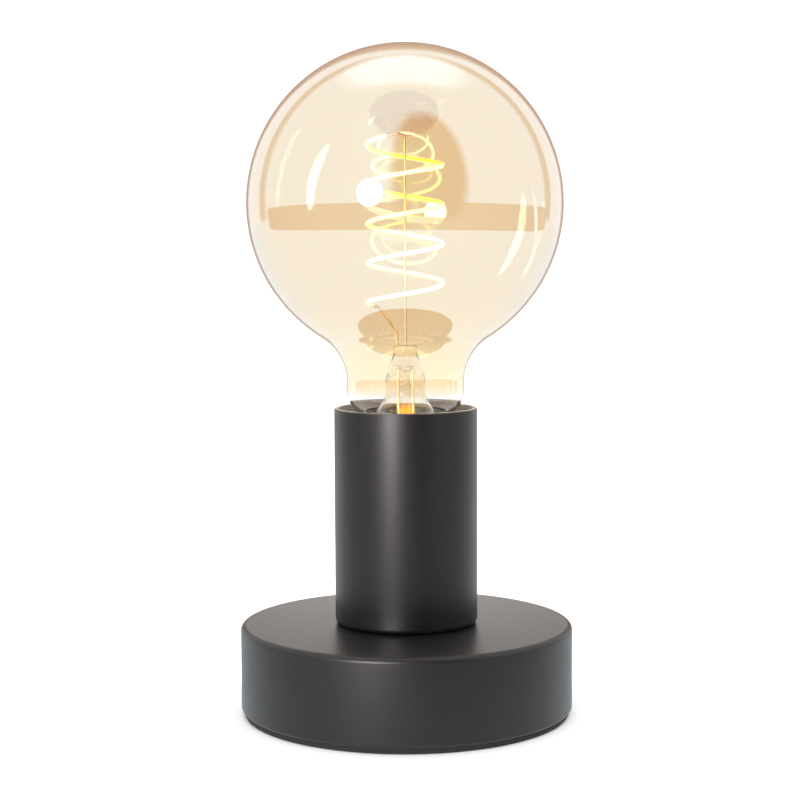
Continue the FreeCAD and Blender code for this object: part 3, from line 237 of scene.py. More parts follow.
def bent(points, bend, steps=6):
    """Points along straight runs joined by arcs of one radius."""
    points = [Vector(point) for point in points]
    path = [points[0]]
    for before, corner, after in zip(points, points[1:], points[2:]):
        path += corner_arc(before, corner, after, bend, steps)
    path.append(points[-1])
    return path


def lathe(name, outline, material, segments=256):
    """A closed outline of (radius, height) points turned about Z. Points on the axis become poles."""
    verts = []
    rows = []
    for radius, height in outline:
        if radius < ON_AXIS:
            rows.append([len(verts)] * segments)
            verts.append((0, 0, height))
            continue
        rows.append(list(range(len(verts), len(verts) + segments)))
        for segment in range(segments):
            verts.append(round_axis(radius, 2 * math.pi * segment / segments, height))
    faces = []
    for low, high in zip(rows, rows[1:] + rows[:1]):
        for segment in range(segments):
            after = (segment + 1) % segments
            corners = [low[segment], low[after], high[after], high[segment]]
            face = [corner for index, corner in enumerate(corners) if corner not in corners[:index]]
            if len(face) > 2:
                faces.append(face)
    return closed_object(name, verts, faces, material)


def tube(name, points, radii, material, sides=12):
    """A round bar along points, with a radius at each, its cross-section carried without twist."""
    points = [Vector(point) for point in points]
    verts = []
    side = None
    for index, point in enumerate(points):
        before = points[max(index - 1, 0)]
        after = points[min(index + 1, len(points) - 1)]
        tangent = (after - before).normalized()
        if side is None:
            side = tangent.orthogonal().normalized()
        side = (side - tangent * side.dot(tangent)).normalized()
        up = tangent.cross(side)
        for corner in range(sides):
            angle = 2 * math.pi * corner / sides
            verts.append(point + (side * math.cos(angle) + up * math.sin(angle)) * radii[index])
    faces = []
    for ring in range(len(points) - 1):
        for corner in range(sides):
            after = (corner + 1) % sides
            faces.append((ring * sides + corner, ring * sides + after,
                          (ring + 1) * sides + after, (ring + 1) * sides + corner))
    faces.append(tuple(range(sides)))
    faces.append(tuple(range((len(points) - 1) * sides, len(points) * sides)))
    return closed_object(name, verts, faces, material, sharp_degrees=50)


def wire(name, points, radius, material):
    """A round bar of one radius along points."""
    return tube(name, points, [radius] * len(points), material)


# ---------------------------------------------------------------- materials

class Shader:
    """A material's node tree, with its Principled shader ready."""

    def __init__(self, name):
        self.material = bpy.data.materials.new(name)
        self.material.use_nodes = True
        self.tree = self.material.node_tree
        self.bsdf = self.tree.nodes["Principled BSDF"]

    def node(self, kind, **settings):
        node = self.tree.nodes.new(kind)
        for key, value in settings.items():
            if key in node.inputs:
                node.inputs[key].default_value = value
            else:
                setattr(node, key, value)
        return node

    def link(self, source, target):
        self.tree.links.new(source, target)

    def feed(self, socket, source):
        """Link a source to one of the Principled shader's sockets."""
        self.link(source, self.bsdf.inputs[socket])

    def set(self, **values):
        """Give sockets of the Principled shader one value each."""
        for key, value in values.items():
            self.bsdf.inputs[key.replace("_", " ")].default_value = value

    def position(self):
        """Object coordinates, in metres."""
        return self.node("ShaderNodeTexCoord").outputs["Object"]

    def axes(self, vector):
        """The X, Y and Z of a vector socket."""
        split = self.node("ShaderNodeSeparateXYZ")
        self.link(vector, split.inputs["Vector"])
        return split.outputs

    def height(self):
        return self.axes(self.position())["Z"]

    def away(self):
        """The way out from the lamp's axis, as long as the distance from it."""
        axes = self.axes(self.position())
        flat = self.node("ShaderNodeCombineXYZ")
        self.link(axes["X"], flat.inputs["X"])
        self.link(axes["Y"], flat.inputs["Y"])
        return flat.outputs["Vector"]

    def noise(self, size, detail=3.0, roughness=0.5):
        """A noise whose grains are about the given size in metres."""
        noise = self.node("ShaderNodeTexNoise", Scale=1 / size, Detail=detail, Roughness=roughness)
        self.link(self.position(), noise.inputs["Vector"])
        return noise.outputs["Fac"]

    def waves(self, size, distortion):
        """Level bands up the piece, whose spacing follows the given size."""
        wave = self.node("ShaderNodeTexWave", wave_type="BANDS", bands_direction="Z",
                         Scale=1 / size, Distortion=distortion)
        self.link(self.position(), wave.inputs["Vector"])
        return wave.outputs["Fac"]

    def ramp(self, factor, *stops):
        """Colours or greys laid along a factor: pairs of (place, colour)."""
        ramp = self.node("ShaderNodeValToRGB")
        while len(ramp.color_ramp.elements) < len(stops):
            ramp.color_ramp.elements.new(0.5)
        for element, (place, colour) in zip(ramp.color_ramp.elements, stops):
            element.position = place
            element.color = (*colour, 1)
        self.link(factor, ramp.inputs["Fac"])
        return ramp.outputs["Color"]

    def spread(self, factor, low, high, start=0.0, end=1.0, kind="LINEAR"):
        """A factor's range from start to end, mapped to one from low to high."""
        spread = self.node("ShaderNodeMapRange", interpolation_type=kind)
        spread.inputs["From Min"].default_value = start
        spread.inputs["From Max"].default_value = end
        spread.inputs["To Min"].default_value = low
        spread.inputs["To Max"].default_value = high
        self.link(factor, spread.inputs["Value"])
        return spread.outputs["Result"]

    def fade(self, value, start, end, low=0.0, high=1.0):
        """Low up to start and high from end on, with a smooth change between them."""
        return self.spread(value, low, high, start, end, "SMOOTHSTEP")

    def mix(self, factor, low, high):
        """One colour socket turning into another."""
        mix = self.node("ShaderNodeMix", data_type="RGBA")
        self.link(factor, mix.inputs["Factor"])
        self.link(low, mix.inputs["A"])
        self.link(high, mix.inputs["B"])
        return mix.outputs["Result"]

    def maths(self, operation, *values):
        """One operation on sockets and numbers."""
        node = self.node("ShaderNodeMath", operation=operation)
        for socket, value in zip(node.inputs, values):
            if isinstance(value, bpy.types.NodeSocket):
                self.link(value, socket)
            else:
                socket.default_value = value
        return node.outputs["Value"]

    def vector_maths(self, operation, output, *vectors):
        """One operation on vector sockets."""
        node = self.node("ShaderNodeVectorMath", operation=operation)
        for socket, vector in zip(node.inputs, vectors):
            self.link(vector, socket)
        return node.outputs[output]

    def paint(self, factor, dark, light, start=0.3, end=0.7):
        """Base colour from dark to light over the middle of a factor."""
        self.feed("Base Color", self.ramp(factor, (start, dark), (end, light)))

    def gloss(self, factor, low, high):
        """Roughness between two values, by a factor."""
        self.feed("Roughness", self.spread(factor, low, high))

    def bump(self, height, distance, strength=1.0):
        bump = self.node("ShaderNodeBump", Distance=distance, Strength=strength)
        self.link(height, bump.inputs["Height"])
        self.feed("Normal", bump.outputs["Normal"])


def grey(value):
    return (value, value, value)


def black_paint():
    """Matte powder coat: a fine orange peel, slightly uneven gloss and tone."""
    shader = Shader("black_paint")
    shader.paint(shader.noise(22 * MM, 4, 0.6), (0.0058, 0.0055, 0.0060), (0.0076, 0.0072, 0.0078))
    shader.gloss(shader.noise(3 * MM, 5, 0.6), 0.35, 0.41)
    shader.bump(shader.noise(0.28 * MM, 2), 0.004 * MM, 0.5)
    shader.set(Specular_IOR_Level=0.5, Specular_Tint=(1.0, 0.93, 0.92, 1))
    return shader


def rubber():
    shader = Shader("pad_rubber")
    speck = shader.noise(0.6 * MM, 4, 0.7)
    shader.paint(speck, grey(0.010), grey(0.022), start=0.35)
    shader.gloss(speck, 0.75, 0.95)
    shader.bump(speck, 0.03 * MM, 0.6)
    return shader


def metal(name, dark, light, low, high, lines=0.0):
    """A metal with slight tone and gloss changes, and fine turning lines where asked."""
    shader = Shader(name)
    shader.paint(shader.noise(6 * MM, 5, 0.6), dark, light)
    shader.gloss(shader.noise(1.2 * MM, 6, 0.65), low, high)
    shader.set(Metallic=1.0)
    if lines:
        shader.bump(shader.waves(lines, 0.6), 0.003 * MM, 0.5)
    else:
        shader.bump(shader.noise(0.5 * MM, 4), 0.004 * MM, 0.4)
    return shader


def nickel_wire():
    """The bulb's wires, with a painted orange glow low on them that stands for the light gathered at the
    stem's foot.
    """
    shader = metal("nickel_wire", (0.72, 0.56, 0.34), (0.84, 0.70, 0.48), 0.4, 0.55)
    # Painted glow: orange emission on the wires, from just above the cup's rim downwards.
    glow = shader.fade(shader.height(), CUP_HIGH.z + 1.5 * MM, CUP_HIGH.z - 1 * MM, high=1.2)
    shader.feed("Emission Strength", glow)
    shader.set(Emission_Color=(*FOOT_GLOW, 1))
    return shader


def cast_iron():
    shader = Shader("weight_iron")
    rough = shader.noise(1.6 * MM, 8, 0.7)
    shader.paint(rough, (0.035, 0.034, 0.036), (0.10, 0.095, 0.09), end=0.75)
    shader.gloss(rough, 0.55, 0.85)
    shader.bump(rough, 0.12 * MM, 0.8)
    shader.set(Metallic=0.6)
    return shader


def plastic(name, dark, light, low, high, grain=0.5 * MM, depth=0.01 * MM):
    shader = Shader(name)
    shader.paint(shader.noise(9 * MM, 4, 0.55), dark, light)
    fine = shader.noise(grain, 3, 0.6)
    shader.gloss(fine, low, high)
    shader.bump(fine, depth, 0.5)
    return shader


def green_yellow():
    """Earth insulation: green with yellow bands."""
    shader = Shader("green_insulation")
    shader.paint(shader.waves(4 * MM, 0.5), (0.05, 0.22, 0.03), (0.75, 0.62, 0.05), 0.42, 0.55)
    shader.gloss(shader.noise(0.7 * MM), 0.35, 0.5)
    return shader


def amber_glass():
    """Glass with a lustre on its outer side, where the mesh says so: it passes amber light and
    reflects the cooler rest. The bare glass is clear."""
    shader = Shader("amber_glass")
    lustre = shader.node("ShaderNodeAttribute", attribute_name="lustre").outputs["Fac"]
    facing = shader.node("ShaderNodeLayerWeight", Blend=0.5).outputs["Facing"]
    thick = shader.ramp(facing, (0.0, (0.84, 0.68, 0.40)), (0.5, (0.80, 0.60, 0.34)),
                        (0.8, (0.66, 0.44, 0.26)), (1.0, (0.46, 0.25, 0.16)))
    thin = shader.ramp(lustre, (0.0, grey(0.99)), (LUSTRE_THIN, (0.97, 0.83, 0.50)))
    shader.feed("Base Color", shader.mix(shader.fade(lustre, LUSTRE_THIN, 1.0), thin, thick))
    shader.feed("Specular Tint", shader.ramp(lustre, (0.0, grey(0.16)), (1.0, (0.30, 0.80, 1.0))))
    shader.feed("Coat Weight", lustre)
    shader.set(Transmission_Weight=1.0, IOR=3.0, Roughness=0.0, Coat_IOR=1.8, Coat_Roughness=0.0)
    shader.bump(shader.noise(30 * MM, 2), 0.02 * MM, 0.15)
    return shader


def clear_glass():
    """The stem's glass, with a painted orange glow in its core near the foot that stands for the filament's
    light carried down to it.
    """
    shader = Shader("clear_glass")
    swirl = shader.noise(5 * MM, 3)
    # Painted glow: orange colour and emission in the stem's core below the cup's rim.
    deep = shader.fade(shader.height(), CUP_HIGH.z + 2 * MM, CUP_HIGH.z - 2 * MM)
    core = shader.fade(shader.vector_maths("LENGTH", "Value", shader.away()), 8 * MM, 5 * MM)
    lit = shader.maths("MULTIPLY", deep, core)
    clear = shader.ramp(swirl, (0.3, (0.99, 0.98, 0.95)), (0.7, (0.97, 0.94, 0.88)))
    orange = shader.ramp(swirl, (0.3, (1.0, 0.50, 0.14)), (0.7, (1.0, 0.56, 0.20)))
    shader.feed("Base Color", shader.mix(lit, clear, orange))
    shader.feed("Emission Strength", shader.maths("MULTIPLY", lit, 0.55))
    shader.set(Transmission_Weight=1.0, IOR=1.45, Roughness=0.02, Emission_Color=(*FOOT_GLOW, 1))
    shader.bump(swirl, 0.05 * MM, 0.4)
    return shader


def glowing_strip():
    """The lit filament: whiter on the side that faces out of the coil and in its lower turns, and
    deep yellow on the inner side of the upper ones."""
    shader = Shader("filament_glow")
    outward = shader.vector_maths("NORMALIZE", "Vector", shader.away())
    normal = shader.node("ShaderNodeNewGeometry").outputs["Normal"]
    side = shader.spread(shader.vector_maths("DOT_PRODUCT", "Value", outward, normal), 0, 1, -0.9, 0.75)
    lower = shader.ramp(side, (0.0, (1.0, 0.80, 0.34)), (1.0, (1.0, 0.96, 0.84)))
    upper = shader.ramp(side, (0.0, (1.0, 0.60, 0.05)), (0.7, (1.0, 0.84, 0.38)), (1.0, (1.0, 0.94, 0.70)))
    raised = shader.fade(shader.height(), GLOBE_CENTRE - 16 * MM, GLOBE_CENTRE - 2 * MM)
    colour = shader.mix(raised, lower, upper)
    grain = shader.spread(shader.noise(0.9 * MM, 2), 0.9, 1.1)
    shader.feed("Base Color", colour)
    shader.feed("Emission Color", colour)
    shader.feed("Emission Strength", shader.maths("MULTIPLY", shader.spread(side, 1.1, 1.7), grain))
    shader.set(Roughness=0.5)
    return shader


SHADERS = {
    "black_paint": black_paint(),
    "pad_rubber": rubber(),
    "zinc_steel": metal("zinc_steel", (0.50, 0.50, 0.49), (0.66, 0.66, 0.64), 0.28, 0.45),
    "weight_iron": cast_iron(),
    "black_plastic": plastic("black_plastic", grey(0.012), grey(0.02), 0.32, 0.45),
    "white_plastic": plastic("white_plastic", (0.68, 0.66, 0.60), (0.75, 0.73, 0.68), 0.4, 0.55),
    "brass": metal("brass", (0.62, 0.42, 0.15), (0.80, 0.60, 0.26), 0.22, 0.4),
    "porcelain": plastic("porcelain", (0.74, 0.71, 0.64), (0.83, 0.81, 0.76), 0.12, 0.2, 3 * MM, 0.03 * MM),
    "fibre_board": plastic("fibre_board", (0.28, 0.09, 0.05), (0.38, 0.15, 0.08), 0.6, 0.8, 0.3 * MM),
    "brown_insulation": plastic("brown_insulation", (0.10, 0.04, 0.015), (0.14, 0.06, 0.025), 0.35, 0.5),
    "blue_insulation": plastic("blue_insulation", (0.01, 0.06, 0.30), (0.02, 0.09, 0.38), 0.35, 0.5),
    "green_insulation": green_yellow(),
    "amber_glass": amber_glass(),
    "clear_glass": clear_glass(),
    "filament_glow": glowing_strip(),
    "nickel_wire": nickel_wire(),
    "board_laminate": plastic("board_laminate", (0.02, 0.13, 0.05), (0.03, 0.18, 0.08), 0.35, 0.5),
    "component_black": plastic("component_black", grey(0.015), grey(0.03), 0.4, 0.55),
    "cap_metal": metal("cap_metal", (0.62, 0.61, 0.58), (0.76, 0.75, 0.72), 0.2, 0.34, lines=0.35 * MM),
    "cap_vitrite": plastic("cap_vitrite", (0.006, 0.006, 0.008), (0.014, 0.014, 0.018), 0.1, 0.22),
    "solder": metal("solder", (0.48, 0.48, 0.47), (0.62, 0.62, 0.60), 0.3, 0.5),
}
MATERIALS = {slot: shader.material for slot, shader in SHADERS.items()}


def dress_nodes():
    """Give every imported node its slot's material and soft shading."""
    for sub_part in frame["record"]["subparts"]:
        obj = frame["nodes"][sub_part["node"]]
        obj.data.materials.clear()
        obj.data.materials.append(MATERIALS[sub_part["material_slot"]])
        smooth(obj, sharp_degrees=30)


def finish_piece(obj, body, slot, *nodes):
    """A piece rides on a body and stands for its nodes. The slot is not used."""
    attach(obj, body)
    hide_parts(*nodes)


# ---------------------------------------------------------------- lamp pieces

def make_foot_pad():
    radius = PAD_HIGH.x
    outline = rounded([(0, PAD_LOW.z, 0), (radius, PAD_LOW.z, PAD_ROUNDING),
                       (radius, PAD_HIGH.z, 0), (0, PAD_HIGH.z, 0)])
    pad = lathe("foot_pad_skin", outline, MATERIALS["pad_rubber"])
    finish_piece(pad, "lamp", "pad_rubber", "foot_pad")


def make_base_shell():
    """The base's shell, with the hole for the cable gland cut through its back."""
    radius = SHELL_HIGH.x
    inside = radius - SHELL_WALL
    top = SHELL_HIGH.z
    outline = rounded([
        (inside, SHELL_LOW.z, 0),
        (radius, SHELL_LOW.z, SHELL_FOOT_ROUNDING),
        (radius, top, SHELL_TOP_ROUNDING),
        (NIPPLE_HOLE, top, 0),
        (NIPPLE_HOLE, top - SHELL_WALL, 0),
        (inside, top - SHELL_WALL, SHELL_INNER_ROUNDING),
    ], steps=12)
    shell = lathe("base_shell_skin", outline, MATERIALS["black_paint"], segments=288)
    cut_start = 40 * MM
    cut_length = 20 * MM
    cutter = lathe("gland_hole_cutter", [(0, 0), (GLAND_HOLE, 0), (GLAND_HOLE, cut_length), (0, cut_length)],
                   MATERIALS["black_paint"], segments=64)
    lay_back(cutter, (0, cut_start, (GLAND_LOW.z + GLAND_HIGH.z) / 2))
    boolean = shell.modifiers.new("gland_hole", "BOOLEAN")
    boolean.operation = "DIFFERENCE"
    boolean.solver = "EXACT"
    boolean.object = cutter
    bake_modifiers(shell)
    bpy.data.objects.remove(cutter)
    finish_piece(shell, "lamp", "black_paint", "base_shell")


def make_socket_cup():
    radius = CUP_HIGH.x
    inside = radius - CUP_WALL
    floor = CUP_LOW.z + CUP_WALL
    outline = rounded([
        (NIPPLE_HOLE, CUP_LOW.z, 0),
        (radius, CUP_LOW.z, CUP_BOTTOM_ROUNDING),
        (radius, CUP_HIGH.z, CUP_RIM_ROUNDING),
        (inside, CUP_HIGH.z, CUP_RIM_ROUNDING),
        (inside, floor, CUP_INNER_ROUNDING),
        (NIPPLE_HOLE, floor, 0),
    ], steps=10)
    cup = lathe("socket_cup_skin", outline, MATERIALS["black_paint"], segments=224)
    finish_piece(cup, "lamp", "black_paint", "socket_cup")


def make_cable_gland():
    """The gland's ring in the back wall, with its bore open right through."""
    flange = (GLAND_HIGH.x - GLAND_LOW.x) / 2
    length = GLAND_HIGH.y - GLAND_LOW.y
    rim = length - GLAND_FLANGE_THICKNESS
    outline = rounded([
        (GLAND_BORE, 0, 0),
        (GLAND_THREAD, 0, 0.3 * MM),
        (GLAND_THREAD, rim, 0),
        (flange, rim, 0.2 * MM),
        (flange, length, 0.6 * MM),
        (GLAND_BORE, length, 0.6 * MM),
    ])
    gland = lathe("cable_gland_ring", outline, MATERIALS["black_plastic"], segments=96)
    lay_back(gland, Vector((0, GLAND_LOW.y, (GLAND_LOW.z + GLAND_HIGH.z) / 2)))
    finish_piece(gland, "lamp", "black_plastic", "cable_gland")


def make_contact_spring():
    """The spring under the centre contact, drawn as one fixed coil; the real spring shortens as the contact
    is pressed down.
    """
    low, high = SPRING_LOW, SPRING_HIGH
    radius = (high.x - low.x) / 2 - SPRING_WIRE
    rise = high.z - low.z - 2 * SPRING_WIRE
    steps_per_turn = 32
    steps = SPRING_TURNS * steps_per_turn
    points = []
    for step in range(steps + 1):
        angle = 2 * math.pi * SPRING_TURNS * step / steps
        points.append(round_axis(radius, angle, low.z + SPRING_WIRE + rise * step / steps))
    spring = wire("contact_spring_coil", points, SPRING_WIRE, MATERIALS["zinc_steel"])
    finish_piece(spring, "lamp", "zinc_steel", "contact_spring")
    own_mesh(spring)


# ---------------------------------------------------------------- bulb

def glass_profile(wall):
    """Half the bulb's outline from the collar to the crown, offset inwards by a wall."""
    globe = GLOBE_RADIUS - wall
    blend = NECK_BLEND + wall
    far = GLOBE_RADIUS + NECK_BLEND
    across = NECK_RADIUS + NECK_BLEND
    drop = math.sqrt(far ** 2 - across ** 2)
    blend_centre = GLOBE_CENTRE - drop
    shoulder_centre = (NECK_RADIUS - SHOULDER_RADIUS, blend_centre - NECK_LENGTH)
    shoulder = SHOULDER_RADIUS - wall
    collar = COLLAR_RADIUS - wall
    turn = math.degrees(math.acos((collar - shoulder_centre[0]) / shoulder))
    meeting = math.degrees(math.atan2(drop, across))
    points = [(collar, GLASS_LOW.z)]
    points += arc(shoulder_centre, shoulder, -turn, 0, steps=24)
    points += arc((across, blend_centre), blend, 180, 180 - meeting, steps=28)
    points += arc((0, GLOBE_CENTRE), globe, -meeting, 90, steps=120)[1:]
    points[-1] = (0, GLOBE_CENTRE + globe)
    return points


def make_bulb_glass():
    """The globe, whose outer side carries the lustre's thickness in a point attribute."""
    outline = glass_profile(0) + glass_profile(GLASS_WALL)[::-1]
    glass = lathe("globe_glass", outline, MATERIALS["amber_glass"])
    lustre = glass.data.attributes.new("lustre", "FLOAT", "POINT")
    outer_count = len(glass.data.vertices) // 2
    for index in range(outer_count):
        above = glass.data.vertices[index].co.z - LUSTRE_FOOT
        start = min(max(above / LUSTRE_FADE, 0.0), 1.0)
        rest = min(max(above / LUSTRE_RISE, 0.0), 1.0)
        lustre.data[index].value = start * (LUSTRE_THIN + (1 - LUSTRE_THIN) * rest)
    glass.visible_shadow = False
    finish_piece(glass, "bulb", "amber_glass", "bulb_glass")


def make_stem():
    """The stem: a flare in the collar, a narrowing tube and a pressed tip, hollow up to the press."""
    foot, tip = STEM_LOW.z, STEM_HIGH.z
    wall = GLASS_WALL
    flare = COLLAR_RADIUS - wall - STEM_GAP
    tube_radius, tube_bore = 6 * MM, 5.2 * MM
    tip_radius, tip_bore = 3.6 * MM, 2.8 * MM
    lip, inner_lip = foot + 1.5 * MM, foot + 2.2 * MM
    flare_top, inner_flare_top = foot + 10.4 * MM, foot + 10.8 * MM
    shoulder, inner_shoulder = foot + 16.7 * MM, foot + 16.2 * MM
    waist = foot + 25 * MM
    press = tip - 8 * MM
    outline = rounded([
        (flare - wall, foot, 0),
        (flare, foot, 0),
        (flare, lip, 1 * MM),
        (tube_radius, flare_top, 8 * MM),
        (tube_radius, shoulder, 6 * MM),
        (tip_radius, waist, 4 * MM),
        (tip_radius, tip, 1.0 * MM),
        (0, tip, 0),
        (0, press, 0),
        (tip_bore, press, 1.2 * MM),
        (tube_bore, inner_shoulder, 5 * MM),
        (tube_bore, inner_flare_top, 6 * MM),
        (flare - wall, inner_lip, 0.6 * MM),
    ])
    stem = lathe("stem_glass", outline, MATERIALS["clear_glass"], segments=96)
    stem.visible_shadow = False
    finish_piece(stem, "bulb", "clear_glass", "bulb_stem")


def coil_point(turn):
    return Vector(round_axis(COIL_RADIUS, COIL_START + 2 * math.pi * turn, COIL_FOOT + COIL_PITCH * turn))


def coil_tangent(turn, nudge=0.001):
    return (coil_point(turn + nudge) - coil_point(turn - nudge)).normalized()


def make_filament():
    """The soft phosphor strip of the coil, faintly beaded and rounded at its ends."""
    steps_per_turn = 96
    steps = int(COIL_TURNS * steps_per_turn)
    bead_steps, bead_depth = 6, 0.025
    end_steps, end_taper = 3, 0.45
    points = [coil_point(COIL_TURNS * step / steps) for step in range(steps + 1)]
    radii = []
    for step in range(steps + 1):
        bead = 1 - bead_depth * (0.5 + 0.5 * math.cos(2 * math.pi * step / bead_steps))
        from_end = min(step, steps - step, end_steps)
        radii.append(STRIP_RADIUS * bead * (1 - end_taper * (1 - from_end / end_steps) ** 2))
    strip = tube("filament_strip", points, radii, MATERIALS["filament_glow"], sides=20)
    finish_piece(strip, "bulb", "filament_glow", "led_filament")


def make_filament_mounts():
    """The end tabs, the post with its hook, and the lower lead."""
    nickel = MATERIALS["nickel_wire"]
    low, low_way = coil_point(0), coil_tangent(0)
    high, high_way = coil_point(COIL_TURNS), coil_tangent(COIL_TURNS)
    low_end = low - low_way * TAB_LENGTH
    high_end = high + high_way * TAB_LENGTH
    low_hook = low_end - low_way * HOOK_REACH
    high_hook = high_end + high_way * HOOK_REACH
    stem_top = STEM_HIGH.z
    post = [(0, 0, stem_top), (0, 0, high_hook.z), high_hook, high_end]
    lead = [low_end, low_hook, (-LEAD_ASIDE, 0, stem_top + LEAD_RISE), (-LEAD_ASIDE, 0, stem_top)]
    low_tab = wire("filament_tab_low", [low, low_end], TAB_RADIUS, nickel)
    high_tab = wire("filament_tab_high", [high, high_end], TAB_RADIUS, nickel)
    finish_piece(low_tab, "bulb", "nickel_wire", "filament_tabs")
    finish_piece(high_tab, "bulb", "nickel_wire", "filament_tabs")
    post_wire = wire("filament_post_wire", bent(post, WIRE_BEND), WIRE_RADIUS, nickel)
    finish_piece(post_wire, "bulb", "nickel_wire", "filament_post")
    lead_wire = wire("filament_lead_wire", bent(lead, WIRE_BEND), WIRE_RADIUS, nickel)
    finish_piece(lead_wire, "bulb", "nickel_wire", "filament_lead")


def thread_reach(angle, height, radius, throw):
    """How far a thrown circle lies from the axis at an angle."""
    away = angle - 2 * math.pi * height / THREAD_PITCH
    return throw * math.cos(away) + math.sqrt(radius ** 2 - (throw * math.sin(away)) ** 2)


def make_cap_shell():
    """The bulb's threaded cap, pressed from thin sheet."""
    foot, top = CAP_LOW.z, CAP_HIGH.z
    thread_foot = foot + THREAD_RUNOUT
    thread_top = foot + THREAD_HEIGHT
    edge_height, edge_inset = 0.4 * MM, 0.05 * MM
    segments = 128
    thread_levels = 130
    levels = [(foot, THREAD_RADIUS - THREAD_THROW, 0.0), (thread_foot, THREAD_RADIUS, THREAD_THROW)]
    for level in range(1, thread_levels + 1):
        height = thread_foot + (thread_top - thread_foot) * level / thread_levels
        levels.append((height, THREAD_RADIUS, THREAD_THROW))
    levels += [(thread_top + THREAD_RUNOUT, SKIRT_RADIUS, 0.0), (top - edge_height, SKIRT_RADIUS, 0.0),
               (top, SKIRT_RADIUS - edge_inset, 0.0)]
    verts = []
    for inset in (0.0, CAP_SHEET):
        for height, radius, throw in levels:
            for segment in range(segments):
                angle = 2 * math.pi * segment / segments
                reach = thread_reach(angle, height, radius - inset, throw)
                verts.append(round_axis(reach, angle, height))
    faces = []
    rows = len(levels)
    order = list(range(rows)) + list(range(2 * rows - 1, rows - 1, -1))
    for low, high in zip(order, order[1:] + order[:1]):
        for segment in range(segments):
            after = (segment + 1) % segments
            faces.append((low * segments + segment, low * segments + after,
                          high * segments + after, high * segments + segment))
    cap = closed_object("cap_thread", verts, faces, MATERIALS["cap_metal"], sharp_degrees=50)
    finish_piece(cap, "bulb", "cap_metal", "cap_shell")


# ---------------------------------------------------------------- stage

def make_camera():
    """The photograph's view, fitted to the outlines of the globe, the cup and the base."""
    camera = bpy.data.cameras.new("camera")
    camera.sensor_width = 36
    camera.lens = CAMERA_LENS
    camera.clip_start = 0.01
    camera.clip_end = 50
    obj = bpy.data.objects.new("camera", camera)
    pitch = Matrix.Rotation(math.radians(90 - CAMERA_DIP), 4, "X")
    roll = Matrix.Rotation(math.radians(CAMERA_ROLL), 4, "Z")
    obj.matrix_world = Matrix.Translation(CAMERA_PLACE) @ pitch @ roll
    bpy.context.scene.collection.objects.link(obj)
    bpy.context.scene.camera = obj


def make_floor():
    """A plain pale floor, which shows in no reflection."""
    shader = Shader("pale_floor")
    shader.paint(shader.noise(400 * MM, 2), grey(0.93), grey(0.95))
    shader.set(Roughness=0.9, Specular_IOR_Level=0.1)
    reach = 6
    corners = [(-reach, -reach, 0), (reach, -reach, 0), (reach, reach, 0), (-reach, reach, 0)]
    floor = new_object("floor", corners, [(0, 1, 2, 3)], shader.material)
    floor.visible_glossy = False
    floor.visible_transmission = False


def make_world():
    """Even, nearly white light from all round."""
    world = bpy.data.worlds.new("studio")
    bpy.context.scene.world = world
    world.use_nodes = True
    background = world.node_tree.nodes["Background"]
    background.inputs["Color"].default_value = (1.0, 0.995, 0.99, 1)
    background.inputs["Strength"].default_value = 1.13
    bpy.context.scene.view_settings.view_transform = "Standard"
    bpy.context.scene.view_settings.look = "None"


def sphere_patch(azimuths, elevations, tilt, bow, lean, radius):
    """A grid on a sphere round the globe: its points, its faces, and each point's place in it."""
    verts = []
    places = []
    lift = Matrix.Rotation(math.radians(-tilt), 3, "X")
    for row in range(CARD_ROWS + 1):
        above = row / CARD_ROWS
        for column in range(CARD_ROWS + 1):
            along = column / CARD_ROWS
            low = elevations[0] + bow * (2 * along - 1) ** 2
            elevation = math.radians(low + (elevations[1] - low) * above)
            azimuth = math.radians(azimuths[0] + (azimuths[1] - azimuths[0]) * along
                                   + lean * (1 - above) ** 2)
            way = Vector((math.sin(azimuth) * math.cos(elevation),
                          -math.cos(azimuth) * math.cos(elevation),
                          math.sin(elevation)))
            verts.append(Vector((0, 0, GLOBE_CENTRE)) + lift @ way * radius)
            places.append((along, above))
    faces = []
    for row in range(CARD_ROWS):
        for column in range(CARD_ROWS):
            first = row * (CARD_ROWS + 1) + column
            faces.append((first, first + 1, first + CARD_ROWS + 2, first + CARD_ROWS + 1))
    return verts, faces, places


def card_shader(name, strength, colour, corner, soft):
    """A plain glow that fades out towards the card's edge."""
    shader = Shader(name)
    place = shader.axes(shader.node("ShaderNodeTexCoord").outputs["UV"])
    powers = []
    for axis in "XY":
        from_middle = shader.maths("MULTIPLY_ADD", place[axis], 2, -1)
        powers.append(shader.maths("POWER", shader.maths("ABSOLUTE", from_middle), corner))
    reach = shader.maths("POWER", shader.maths("ADD", *powers), 1 / corner)
    shader.feed("Alpha", shader.fade(reach, 1 - soft, 1, 1, 0))
    shader.set(Base_Color=(0, 0, 0, 1), Specular_IOR_Level=0.0, Emission_Color=(*colour, 1),
               Emission_Strength=strength)
    return shader


def reflection_card(name, azimuths, elevations, strength, colour=WHITE, tilt=0.0, corner=6, soft=0.2,
                    bow=0.0, lean=0.0, through=False, order=0):
    """A patch of a large sphere round the globe that shows in reflections alone. Its directions are
    in degrees: azimuth from the front, to the right, and elevation. tilt then lifts it over the
    top. corner is 2 for an ellipse and more for a squarer shape, and soft is its edge's share.
    bow raises the lower edge towards both ends, lean pushes the lower end to the right, through
    shows it in what the glass passes as well, and a higher order covers the lower ones."""
    radius = CARD_DISTANCE - CARD_STEP * order
    verts, faces, places = sphere_patch(azimuths, elevations, tilt, bow, lean, radius)
    card = new_object(name, verts, faces, card_shader(name, strength, colour, corner, soft).material)
    layer = card.data.uv_layers.new(name="card")
    for loop in card.data.loops:
        layer.data[loop.index].uv = places[loop.vertex_index]
    card.visible_camera = False
    card.visible_diffuse = False
    card.visible_shadow = False
    card.visible_transmission = through


